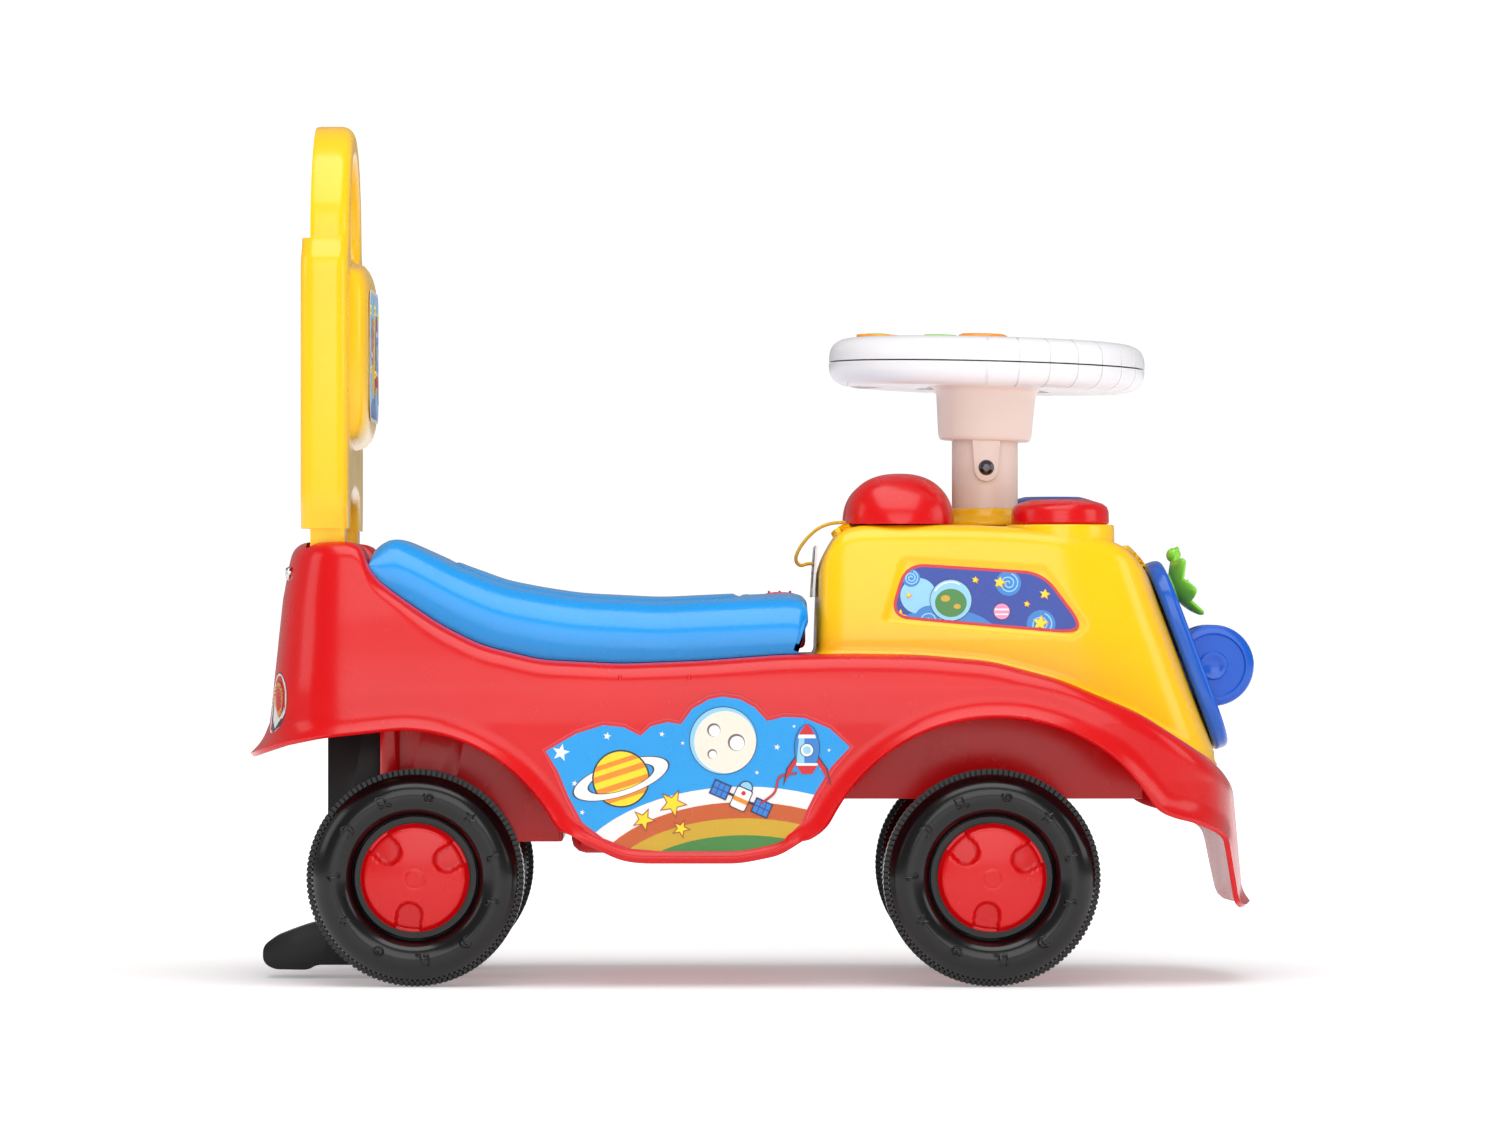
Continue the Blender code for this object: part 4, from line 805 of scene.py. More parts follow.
def satellite(across, up, size):
    """A plain satellite with two panels and a dish, as print layers."""
    turn = Matrix.Rotation(math.radians(-24), 2)

    def part(points):
        return [tuple(Vector((across, up)) + turn @ Vector((a * size, b * size))) for a, b in points]
    layers = [("dark", part(box_outline(-1.0, -0.04, 1.0, 0.04)), False)]
    for left in (-1.0, 0.42):
        layers += [("dark", part(box_outline(left, -0.25, left + 0.58, 0.25)), False),
            ("navy", part(box_outline(left + 0.03, -0.22, left + 0.55, 0.22)), False)]
        for cell in range(3):
            start = left + 0.05 + cell * 0.17
            layers += [("mid_blue", part(box_outline(start, 0.02, start + 0.14, 0.20)), False),
                ("mid_blue", part(box_outline(start, -0.20, start + 0.14, -0.02)), False)]
    return layers + [("dark", part(box_outline(-0.27, -0.36, 0.27, 0.36, 0.08)), False),
        ("white", part(box_outline(-0.24, -0.33, 0.24, 0.33, 0.07)), False),
        ("amber", part(box_outline(-0.24, -0.12, 0.24, 0.02)), False),
        ("red", part(disc((0.0, 0.19), 0.07)), False), ("dark", part(arc((0, 0.36), 0.23, 0, 180, 16)),
        False), ("pale_blue", part(arc((0, 0.37), 0.19, 0, 180, 16)), False)]


def make_side_sticker():
    """Space scene: sky, curved ground bands, planet, moon, satellite, rocket and stars."""
    outline = in_mm(STICKER_MM)
    ground = (-0.0067, 0.0498)
    layers = [("red_edge", grown(outline, 0.0021), False), ("red", grown(outline, 0.0017), False),
        ("sky", outline, False)]
    for ink, radius, squash in (("white", 0.1009, 0.604), ("orange", 0.0884, 0.593), ("ochre", 0.0798,
            0.545), ("green", 0.0687, 0.498), ("mid_blue", 0.0300, 0.840)):
        layers.append((ink, disc(ground, radius, 64, squash), True))
    for a, b, radius in ((-107.5, 129.4, 5.0), (-82.1, 138.4, 2.3), (11.3, 132.4, 1.8),
            (-95.8, 96.5, 1.5), (20.6, 143.8, 1.0), (39.8, 130.7, 1.1), (-52.0, 139.5, 1.6),
            (-40.6, 134.6, 1.2), (-100.0, 112.4, 1.7), (0.2, 118.4, 1.3), (35.6, 121.0, 1.2)):
        layers.append(("white", star((a * MM, b * MM), radius * MM, turn=78), False))
    layers += ringed_planet(-0.0745, 0.1150, 0.0150, "yellow", "amber", "white", 18)
    for a, b, radius in ((-62.0, 92.5, 6.0), (-46.0, 101.5, 7.4), (-41.5, 87.6, 4.6)):
        centre = (a * MM, b * MM)
        layers += [("dark", star(centre, (radius + 0.9) * MM, turn=66), False),
            ("orange", star(centre, (radius + 0.4) * MM, turn=66), False),
            ("yellow", star(centre, (radius - 0.7) * MM, turn=66), False)]
    moon = (-0.0183, 0.1360)
    layers += [("dark", disc(moon, 0.0187, 48), False), ("pale_blue", disc(moon, 0.0183, 48), False),
        ("cream", disc((moon[0] + 0.0010, moon[1] - 0.0008), 0.0170, 48), False),
        ("grey", disc((moon[0] - 0.0052, moon[1] + 0.0058), 0.0037), False),
        ("white", disc((moon[0] - 0.0048, moon[1] + 0.0053), 0.0031), False),
        ("grey", disc((moon[0] + 0.0072, moon[1] - 0.0010), 0.0047), False),
        ("white", disc((moon[0] + 0.0076, moon[1] - 0.0015), 0.0040), False),
        ("grey", disc((moon[0] - 0.0060, moon[1] - 0.0074), 0.0027), False),
        ("white", disc((moon[0] - 0.0057, moon[1] - 0.0078), 0.0022), False)]
    layers += satellite(-0.0085, 0.1040, 0.0175)
    tail = smooth_route([(0.0018, 0.1010, 0), (0.0098, 0.1073, 0), (0.0128, 0.1160, 0), (0.0222, 0.1180,
        0)], 8)
    tail = [(p.x, p.y) for p in tail]
    layers += [("dark", stroke(tail, 0.0013), False), ("red", stroke(tail, 0.0009), False)]
    layers += rocket(0.0277, 0.1290, 0.0285)
    place = Matrix(((1, 0, 0, 0), (0, 0, -1, -BODY_HALF_WIDTH - 0.0001), (0, 1, 0, 0), (0, 0, 0, 1)))
    return decal("side_sticker_right", place, layers, outline)


def make_tail_lamp(side):
    """Printed lamp with a ribbed orange centre, wrapped on the rear corner."""
    layers = [("dark", disc((0, 0), 0.0172, 40, 1.0), False), ("white", disc((0, 0), 0.0165, 40), False),
        ("dark", disc((0, 0), 0.0122, 40), False), ("amber", disc((0, 0), 0.0117, 40), False)]
    for level in range(-4, 5):
        half = math.sqrt(0.0110 ** 2 - (level * 0.0022) ** 2)
        layers.append(("orange", box_outline(-half, level * 0.0022 - 0.0004, half,
            level * 0.0022 + 0.0004), False))
    return decal("tail_lamp_right" if side < 0 else "tail_lamp_left", Matrix.Identity(4), layers)


def bend_onto_body(piece, px, py, centre_z, side):
    """Wrap a flat print on the body near a plan point: across runs round the outline."""
    plan = rounded(BODY_PLAN, 0.020, 6)
    lengths, total = [0.0], 0.0
    for a, b in zip(plan, plan[1:]):
        total += (b - a).length
        lengths.append(total)
    start = min(range(len(plan)), key=lambda i: (plan[i] - Vector((px, py))).length)
    for vertex in piece.data.vertices:
        across, up, out = vertex.co
        reach = lengths[start] + across
        index = max(i for i in range(len(plan) - 1) if lengths[i] <= reach)
        share = (reach - lengths[index]) / (lengths[index + 1] - lengths[index])
        here = plan[index].lerp(plan[index + 1], share)
        ahead = (plan[index + 1] - plan[index]).normalized()
        place = body_point(here.x, here.y, centre_z + up)
        place += Vector((ahead.y, -ahead.x, 0.0)) * (out + 0.0001)
        vertex.co = place if side < 0 else Vector((place.x, -place.y, place.z))
    if side > 0:
        piece.data.flip_normals()
    return piece


# ---- bonnet ------------------------------------------------------------------------------------------
BONNET_TOP = rounded([(0.0332, 0.2300), (0.0350, 0.2350), (0.0395, 0.2440), (0.0470, 0.2520),
    (0.0570, 0.2548), (0.0811, BONNET_TOP_Z), (0.1200, 0.2552), (0.1500, 0.2538), (0.1800, 0.2505),
    (0.1968, 0.2470), (0.2100, 0.2415), (0.2184, 0.2327), (0.2300, 0.2020)], 0.004, 4)
BONNET_REAR = [(0.1800, 0.0332), (0.2350, 0.0350), (0.2600, 0.0380)]
BONNET_FRONT = [(0.1275, 0.2578), (0.2327, 0.2184), (0.2600, 0.2082)]
BONNET_SECTION = [(0.10, 0.0860), (0.192, 0.0860), (0.240, 0.0795), (0.2600, 0.0752)]
WINDOW = [(0.0747, 0.2045), (0.0835, 0.2335), (0.1590, 0.2285), (0.1800, 0.2000), (0.1745, 0.1958)]


def bonnet_point(px, py, z):
    """Point of the bonnet's side over a point of its plan outline (taken at the lowest level)."""
    middle = 0.1400
    if px < middle:
        x = middle + (px - middle) * (look_up(BONNET_REAR, z) - middle) / (0.0332 - middle)
    else:
        x = middle + (px - middle) * (look_up(BONNET_FRONT, z) - middle) / (0.2578 - middle)
    return Vector((x, py * look_up(BONNET_SECTION, z) / 0.086, z))


def window_recess(x, z, depth):
    """Shallow recess that the side window's print lies in."""
    corners = [Vector(p) for p in WINDOW]
    inside = 1.0
    for a, b in zip(corners, corners[1:] + corners[:1]):
        run = (b - a).normalized()
        inside = min(inside, (Vector((x, z)) - a).dot(Vector((run.y, -run.x))))
    return depth * ease(inside, -0.0038, -0.0014)


def make_bonnet(sizes):
    """Bonnet cover with the two knob pads and the roller opening."""
    half_width = 0.086
    plan = rounded([(0.0332, 0.0), (0.0332, -0.0700), (0.0375, -half_width), (0.1900, -half_width),
        (0.2440, -0.0750), (0.2578, -0.0480), (0.2578, 0.0)], 0.018, 8)

    def drive(point):
        return Vector((look_up(BONNET_TOP, point.x) * 0.6, 0.0))

    stations = along(plan, drive, 0.0018)
    side_rows, fillet_rows, top_rows = 44, 9, 18
    fillet = sizes.bonnet_fillet
    ridge = ridge_positions(stations, 0.0332 + 0.014, 0.2300 - 0.010)
    columns = []
    for i, point in enumerate(stations):
        last = len(stations) - 1
        ahead = (stations[min(i + 1, last)] - stations[max(i - 1, 0)]).normalized()
        out = Vector((ahead.y, -ahead.x, 0.0))
        if i in (0, last):
            out = Vector((-1.0 if i == 0 else 1.0, 0.0, 0.0))
        low = 0.15
        for _ in range(5):
            foot = bonnet_point(point.x, point.y, low)
            low = look_up(DECK_LINE, foot.x) - 0.0004
        high = 0.24
        for _ in range(8):
            corner = bonnet_point(point.x, point.y, high)
            high = 0.5 * high + 0.5 * look_up(BONNET_TOP, corner.x)
        corner = bonnet_point(point.x, point.y, high)
        reach = min(fillet, (high - low) * 0.45)
        column = []
        for k in range(side_rows + 1):
            z = low + (high - reach - low) * k / side_rows
            side = bonnet_point(point.x, point.y, z)
            side += out * 0.0018 * (1.0 - clamp((z - low) / 0.0035)) ** 2
            if abs(side.y) > 0.07 and 0.06 < side.x < 0.19:
                side -= out * window_recess(side.x, z, 0.0014)
            column.append(side)
        end = corner - out * fillet
        end.y = min(end.y, 0.0)
        if i in (0, last):
            end.y = 0.0
        end.z = look_up(BONNET_TOP, end.x)
        for k in range(1, fillet_rows + 1):
            t = k / fillet_rows
            column.append((1 - t) ** 2 * column[side_rows] + 2 * t * (1 - t) * corner + t * t * end)
        for k in range(1, top_rows + 1):
            x = end.x + (ridge[i] - end.x) * k / top_rows
            column.append(Vector((x, end.y * (1 - k / top_rows), look_up(BONNET_TOP, x))))
        if i in (0, last):
            column = [Vector((p.x, 0.0, p.z)) for p in column]
        columns.append(column)
    bonnet = skin("bonnet_cover", len(stations), len(columns[0]), lambda i, j: columns[i][j])
    whole_shell(bonnet)
    combine(bonnet, turned("column_hole", box_outline(0.0, 0.24, 0.0128, 0.27), 40, (STEER_X, 0, 0)))
    pads = [turned("pad", [tuple(p) for p in rounded([(0.0, 0.2390), (0.0306, 0.2390),
        (0.0302, BONNET_TOP_Z), (0.0, BONNET_TOP_Z)], 0.0012, 3)], 72, (KNOB_X, side * KNOB_Y, 0))
        for side in (-1, 1)]
    join("bonnet_cover", bonnet, *pads)
    combine(bonnet, block("roller_opening", (0.222, -0.034, ROLLER_Z - 0.0265), (0.266, 0.034,
        ROLLER_Z + 0.0265)))
    return bonnet


def window_place(side):
    """Frame of the leaning side window: across is along the car, up follows the lean."""
    low, high = Vector((0, -0.0860, 0.192)), Vector((0, -0.0795, 0.240))
    up = (high - low).normalized()
    across = Vector((1, 0, 0))
    out = across.cross(up)
    origin = low - out * 0.0013
    return Matrix(((across.x, up.x, out.x, origin.x), (across.y, up.y, out.y, origin.y), (across.z, up.z,
        out.z, origin.z), (0, 0, 0, 1)))


def make_window_sticker():
    """Side window print: night sky with swirls, planets and stars inside a red frame."""
    base = 0.192
    outline = grown(rounded([(x, z - base) for x, z in WINDOW], 0.011, 8, closed=True), 0.0010)
    inner = grown(outline, -0.0017)
    layers = [("red", outline, False), ("navy", inner, False), ("mid_blue", disc((0.103, -0.004), 0.034,
        48, 0.62), True), ("pale_blue", disc((0.090, 0.024), 0.0100, 36), True)]
    for centre, radius in (((0.096, 0.010), 0.0085), ((0.140, 0.031), 0.0070), ((0.158, 0.008), 0.0080),
            ((0.086, 0.034), 0.0050)):
        layers.append(("mid_blue", disc(centre, radius, 36), True))
        layers.append(("pale_blue", stroke(spiral(centre, 0.0006, radius * 0.8, 2.2), 0.0007), True))
    layers += [("dark", disc((0.1080, 0.0215), 0.0118, 40), True), ("pale_blue", disc((0.1080, 0.0215),
        0.0114, 40), True), ("green", disc((0.1080, 0.0200), 0.0088, 40, 0.9), True),
        ("ochre", disc((0.1050, 0.0225), 0.0026, 24, 0.7), True), ("ochre", disc((0.1115, 0.0180), 0.0020,
        24, 0.7), True), ("white", stroke(arc((0.1080, 0.0215), 0.0101, 60, 150, 16), 0.0007), True)]
    layers += [("dark", disc((0.1362, 0.0152), 0.0048), True), ("pink", disc((0.1362, 0.0152), 0.0044),
        True), ("white", box_outline(0.1323, 0.0158, 0.1401, 0.0168), True), ("white", box_outline(0.1327,
        0.0132, 0.1397, 0.0140), True)]
    for a, b, radius in ((79.5, 12.5, 4.2), (135.0, 31.5, 3.4), (160.0, 25.0, 3.0), (157.5, 8.8, 4.6),
            (96.0, 6.8, 2.0), (150.0, 19.5, 1.8), (121.5, 33.0, 2.0), (84.5, 24.5, 1.6)):
        centre = (a * MM, b * MM)
        layers += [("amber", star((centre[0] + 0.0005, centre[1] - 0.0005), radius * MM, turn=80), True),
            ("yellow", star(centre, radius * MM, turn=80), True)]
    return decal("window_sticker_right", window_place(-1), layers, inner)


def make_dash_sticker():
    """Printed dash: two round gauges and a row of buttons."""
    layers = [("cream", box_outline(-0.0575, -0.0140, 0.0575, 0.0140, 0.006), False)]
    for centre, ink in ((-0.030, "red"), (0.030, "mid_blue")):
        layers += [("dark", disc((centre, 0.001), 0.0108), False), ("white", disc((centre, 0.001),
            0.0098), False), (ink, band((centre, 0.001), 0.0074, 0.0088, -20, 200), False)]
        for angle in range(-20, 201, 44):
            tip = arc((centre, 0.001), 0.0068, angle, angle, 1)[0]
            root = arc((centre, 0.001), 0.0050, angle, angle, 1)[0]
            layers.append(("dark", stroke([root, tip], 0.0005), False))
        layers.append(("red", stroke([(centre, 0.001), (centre + 0.004, 0.0062)], 0.0007), False))
    for index, ink in enumerate(("green", "amber", "red")):
        layers.append((ink, disc((-0.008 + index * 0.008, -0.008), 0.0024), False))
    lean = Matrix.Rotation(math.radians(4.0), 4, "Y")
    turn = Matrix(((0, 0, -1, 0), (-1, 0, 0, 0), (0, 1, 0, 0), (0, 0, 0, 1)))
    sticker = decal("dash_sticker", Matrix.Translation((0.0331, 0, 0.2295)) @ lean
        @ Matrix.Translation((-0.0007, 0, 0)) @ turn, layers)
    hole = turned("cord_exit", box_outline(0.0, -0.01, 0.0022, 0.01), 20, (0.0338, 0.004, 0.2325), "X")
    return combine(sticker, hole)


# ---- backrest and strut ---------------------------------------------------------------------------
BACK_X, FRONT_X = -0.2530, -0.2266
PANEL_FRONT_X = -0.2160
PANEL_MIDDLE_Z = 0.3510


def pillow(name, outline, low, high, edge):
    """A slab between two X levels with rounded rims; a negative edge flares it as a cutter."""
    size, steps = abs(edge), 6
    start = [(low + size * (1 - math.cos(t)), size * (1 - math.sin(t))) for t in (math.pi / 2 * k / steps
        for k in range(steps + 1))]
    if edge < 0:
        start = [(low - 0.01, size)] + start
    levels = start + [(low + high - x, inset) for x, inset in reversed(start)]
    sign = -1.0 if edge > 0 else 1.0
    loops = [[Vector((x, p.x, p.y)) for p in grown(outline, sign * inset)] for x, inset in levels]
    piece = skin(name, len(outline) + 1, len(levels), lambda i, j: loops[j][i % len(outline)])
    pick(piece)
    bpy.ops.object.mode_set(mode="EDIT")
    bpy.ops.mesh.select_all(action="SELECT")
    bpy.ops.mesh.remove_doubles(threshold=0.000005)
    bpy.ops.mesh.select_all(action="SELECT")
    bpy.ops.mesh.fill_holes(sides=0)
    bpy.ops.mesh.select_all(action="SELECT")
    bpy.ops.mesh.normals_make_consistent(inside=False)
    bpy.ops.object.mode_set(mode="OBJECT")
    return piece


def make_backrest():
    """Two legs, a wide panel and an arched handle in one hollow moulding with big soft edges."""
    outer = [(0.0812, 0.2300), (0.0812, 0.2540), (0.0850, 0.2660), (0.0850, 0.4000), (0.0790, 0.4130)]
    inner = [(0.0490, 0.2300), (0.0490, 0.2560), (0.0420, 0.2680), (0.0, 0.2720)]
    half = rounded(outer, 0.008, 4)[:-1]
    arch = arc((0.0, 0.4115), 0.0700, 4, 176, 40)
    far = [(-p[0], p[1]) for p in reversed(half)]
    inner_line = rounded(inner, 0.010, 5)
    outline = ([tuple(p) for p in half] + arch + far + [(-p[0], p[1]) for p in inner_line[:-1]]
        + [tuple(p) for p in reversed(inner_line)])
    backrest = pillow("backrest_moulding", outline, BACK_X, FRONT_X, 0.0075)
    window = arc((0.0, 0.4150), 0.0480, 4, 176, 32) + [(-0.0440, 0.4075), (0.0440, 0.4075)]
    combine(backrest, pillow("window", rounded(window, 0.004, 4, closed=True), BACK_X, FRONT_X, -0.0060))
    thin = slab("loop_thinner", box_outline(-0.2700, 0.4150, -0.2482, 0.50), -0.10, 0.10, "Y")
    combine(backrest, thin)
    for side in (-1, 1):
        y = side * LEG_Y
        for x0, x1 in ((-0.2600, -0.2475), (-0.2285, -0.2200)):
            combine(backrest, block("leg_cut", (x0, y - 0.02, 0.21), (x1, y + 0.02, 0.2530)))
        combine(backrest, block("leg_side_cut", (-0.26, y + 0.0155, 0.21), (-0.22, y + 0.03, 0.2530)))
        combine(backrest, block("leg_side_cut", (-0.26, y - 0.03, 0.21), (-0.22, y - 0.0155, 0.2530)))
    return backrest


def make_backrest_panel():
    """Puffed front panel of the backrest."""
    half_y, half_z = 0.0640, 0.0540
    depth = PANEL_FRONT_X - FRONT_X + 0.003
    columns, rows = 49, 41

    def place(column, row):
        u, v = 2 * column / (columns - 1) - 1, 2 * row / (rows - 1) - 1
        round_u, round_v = u * math.sqrt(1 - 0.22 * v * v), v * math.sqrt(1 - 0.22 * u * u)
        rise = (1 - abs(u) ** 7) * (1 - abs(v) ** 7)
        return Vector((FRONT_X - 0.003 + depth * max(0.0, rise) ** 0.42, round_u * half_y,
            PANEL_MIDDLE_Z + round_v * half_z))

    panel = skin("backrest_panel", columns, rows, place)
    return modify(panel, "SOLIDIFY", thickness=0.002, offset=-1.0)


def make_backrest_sticker():
    """Printed panel: a planet, a rocket and stars on pale blue."""
    base = rounded(box_outline(-0.0470, -0.0370, 0.0470, 0.0370), 0.014, 6, closed=True)
    layers = [("white", base, False), ("pale_blue", grown(base, -0.0018), False),
        ("mid_blue", disc((-0.010, -0.052), 0.046, 48, 0.62), True), ("navy", disc((-0.010, -0.056),
        0.040, 48, 0.60), True)]
    layers += ringed_planet(-0.0200, 0.0080, 0.0125, "amber", "orange", "white", 18)
    layers += rocket(0.0225, 0.0000, 0.042)
    for a, b, radius in ((-38.0, 25.0, 3.0), (3.0, 26.0, 3.4), (38.0, 24.0, 2.2), (-36.0, -8.0, 2.0),
            (4.0, -10.0, 2.4)):
        layers.append(("yellow", star((a * MM, b * MM), radius * MM), False))
    place = Matrix(((0, 0, 1, PANEL_FRONT_X - 0.00005), (1, 0, 0, 0), (0, 1, 0, PANEL_MIDDLE_Z),
        (0, 0, 0, 1)))
    return decal("backrest_sticker", place, layers, grown(base, -0.0018))


def make_strut():
    """Strut between the backrest and its socket."""
    outline = [(-0.2101, 0.1900), (-0.2413, 0.1900), (-0.2413, 0.0330), (-0.2560, 0.0290),
        (-0.2720, 0.0230), (-0.2780, 0.0180), (-0.2780, 0.0090), (-0.2720, 0.0050), (-0.2520, 0.0047),
        (-0.2480, 0.0075), (-0.2150, 0.0075), (-0.2101, 0.0120)]
    strut = slab("strut_moulding", rounded(outline, 0.0035, 4, closed=True), -0.019, 0.019, "Y")
    combine(strut, block("strut_pocket", (-0.2385, -0.0165, 0.0300), (-0.2050, 0.0165, 0.1350)))
    for level in (0.055, 0.080, 0.105):
        combine(strut, block("rib_gap", (-0.2440, -0.0110, level - 0.006), (-0.2404, 0.0110,
            level + 0.006)))
    return soften(strut, 0.0009, 2)


def make_socket_screw(side):
    """Pan-head screw through a socket, its head against the body's rear wall."""
    seat = body_point(-0.2752, -0.0775, 0.228).x - 0.0002
    profile = [(0.0, seat - 0.0024), (0.0030, seat - 0.0020), (0.0040, seat - 0.0004), (0.0040, seat),
        (0.0018, seat), (0.0018, -0.2445), (0.0, -0.2445)]
    screw = turned(f"socket_screw_{'right' if side < 0 else 'left'}", profile, 24, (0, side * LEG_Y,
        0.228), "X")
    for a, b in CROSS:
        y = side * LEG_Y
        combine(screw, block("cross", (seat - 0.0040, y - a, 0.228 - b), (seat - 0.0012, y + a,
            0.228 + b)))
    return screw


# ---- seat -----------------------------------------------------------------------------------------
SEAT_TOP = rounded([(-0.2145, 0.2350), (-0.2135, 0.2392), (-0.2087, 0.2442), (-0.2004, 0.2477),
    (-0.1865, 0.2410), (-0.1643, 0.2288), (-0.1421, 0.2193), (-0.1199, 0.2149), (-0.0978, 0.2116),
    (-0.0534, 0.2094), (-0.0090, 0.2115), (0.0200, 0.2128), (0.0262, 0.2112), (0.0284, 0.2080)], 0.008, 4)
SEAT_HALF_WIDTH = 0.088
SEAT_NOSE = [(0.0287, 0.2050), (0.0277, 0.1985), (0.0262, 0.1935), (0.0235, 0.1845)]


def seat_height(x, share, low, top):
    """Cross section of the seat: a big side roll, then a gentle crown. share is 0 at the centre."""
    crown = 0.001 + 0.004 * ease(x, -0.2004, -0.1424)
    roll = min(0.0230, (top - low) * 0.86)
    across = share * SEAT_HALF_WIDTH
    into_roll = (across - (SEAT_HALF_WIDTH - 0.0230)) / 0.0230
    drop = roll * (1 - math.sqrt(max(0.0, 1 - clamp(into_roll) ** 2.2)))
    return top + crown * (1 - share * share) - drop


def seat_groove(x, y):
    """Depth of the moulded line round the sitting area, which stands a little proud."""
    edge = max(abs(x + 0.090) - 0.080, abs(y) - 0.052)
    if abs(x + 0.090) > 0.060 and abs(y) > 0.032:
        edge = math.hypot(abs(x + 0.090) - 0.060, abs(y) - 0.032) - 0.020
    line = math.exp(-(edge / 0.0016) ** 2)
    step = 0.0008 * (1 - ease(edge, -0.0010, 0.0010))
    return 0.0014 * line - step


def make_seat():
    """Hollow seat lid with its moulded line."""
    ends = SEAT_TOP[0][0], SEAT_TOP[-1][0]
    xs = [ends[0] + (ends[1] - ends[0]) * (i / 130) for i in range(131)]
    xs = sorted(set(xs + [-0.2010, -0.0040] + [ends[0] + 0.0004 * k * k for k in range(1, 6)]
        + [ends[1] - 0.0003 * k * k for k in range(1, 6)]))
    half_rows = [0.0, 0.0568, 0.1136, 0.1705, 0.2273, 0.27, 0.3125, 0.352, 0.395, 0.4375, 0.47, 0.50,
        0.53, 0.56, 0.585, 0.605, 0.62, 0.64, 0.67, 0.70, 0.735, 0.77, 0.80, 0.83, 0.86, 0.89, 0.915,
        0.94, 0.96, 0.975, 0.987, 0.996, 1.0]
    skirt = [0.75, 0.5, 0.25, 0.0]
    columns = []
    for x in xs:
        top, low = look_up(SEAT_TOP, x), look_up(DECK_LINE, x) + 0.0004
        if x > 0.0235:
            low = look_up([(0.0235, 0.1845), (0.0262, 0.1935), (0.0284, 0.2040)], x)
        half = []
        for share in half_rows:
            y = share * SEAT_HALF_WIDTH
            z = seat_height(x, share, low, top) - seat_groove(x, y)
            half.append((y, max(z, low)))
        edge_y, edge_z = half[-1]
        half += [(edge_y, low + (edge_z - low) * part) for part in skirt]
        full = [(-y, z) for y, z in reversed(half[1:])] + half
        columns.append([Vector((x, y, z)) for y, z in full])
    for x, z in SEAT_NOSE:
        columns.append([Vector((x, p.y, min(p.z, z))) for p in columns[len(xs) - 1]])
    seat = skin("seat_moulding", len(columns), len(columns[0]), lambda i, j: columns[i][j])
    bpy.ops.object.mode_set(mode="EDIT")
    bpy.ops.mesh.select_all(action="SELECT")
    bpy.ops.mesh.remove_doubles(threshold=0.00002)
    bpy.ops.mesh.select_mode(type="FACE")
    bpy.ops.mesh.select_all(action="DESELECT")
    bpy.ops.object.mode_set(mode="OBJECT")
    for face in seat.data.polygons:
        x, y = face.center.x, abs(face.center.y)
        face.select = (x > -0.0040 and y < 0.0200) or (x < -0.2010 and 0.0275 < y < 0.0385)
    bpy.ops.object.mode_set(mode="EDIT")
    bpy.ops.mesh.delete(type="FACE")
    bpy.ops.mesh.select_mode(type="VERT")
    bpy.ops.object.mode_set(mode="OBJECT")
    thicken(seat)
    for vertex in seat.data.vertices:
        vertex.co.x = min(vertex.co.x, SEAT_NOSE[0][0])
        vertex.co.y = clamp(vertex.co.y, -SEAT_HALF_WIDTH, SEAT_HALF_WIDTH)
    return soften(seat, 0.0006, 2, 60.0)


def make_catch():
    """Catch in front of the seat lid."""
    half = 0.0145
    outline = [(-half, 0.1860), (-half, 0.2130), (-half + 0.004, 0.2165), (-0.004, 0.2180),
        (0.006, 0.2178), (half - 0.003, 0.2160), (half, 0.2125), (half, 0.1860)]
    outline = [(CATCH_X + a, b) for a, b in outline]
    catch = slab("catch_button", rounded(outline, 0.004, 5, closed=True), -0.0165, 0.0165, "Y")
    soften(catch, 0.0030, 4)
    for index in range(3):
        x = CATCH_X - 0.006 + index * 0.006
        grip = tube("grip", [(x, -0.0105, 0.2180), (x, 0.0105, 0.2180)], 0.0007, 8)
        catch = join("catch_button", catch, grip)
    stem = turned("stem", box_outline(0.0, 0.1700, 0.0040, 0.1880, 0.0005), 24, (CATCH_X, 0, 0))
    return join("catch_button", catch, stem)


# ---- wheels -----------------------------------------------------------------------------------------
TYRE_SIDE = [(0.0335, 0.0030), (0.0342, 0.0060), (0.0352, 0.0115), (0.0380, 0.0157), (0.0418, 0.0176),
    (0.0455, 0.0182), (0.0492, 0.0176), (0.0526, 0.0156), (0.0552, 0.0128), (0.0567, 0.0102),
    (0.0571, 0.0088)]


def tyre_level(radius):
    """Height of a tyre's side at a radius."""
    return look_up(TYRE_SIDE, radius)


def symbol_lines():
    """Line drawings moulded on the tyre's side, in millimetres: across and outwards."""
    note = [[(1.2, -3.0), (1.2, 3.2), (2.8, 2.0), (3.0, 0.6)], arc((0.0, -3.2), 1.3, 0, 360, 14, 0.75)]
    beamed = [[(-1.3, -2.8), (-1.3, 2.8), (3.0, 3.6), (3.0, -2.0)], arc((-2.4, -3.0), 1.2, 0, 360, 12,
        0.75), arc((1.9, -2.2), 1.2, 0, 360, 12, 0.75)]
    five = star((0, 0), 3.6)
    swirl = spiral((0, 0), 0.4, 3.3, 2.1, 30)
    moon = arc((0, 0), 3.3, 50, 310, 20) + arc((1.7, 0), 2.7, 292, 68, 16)
    return [note, [five + five[:1]], [swirl], beamed, [moon + moon[:1]]]


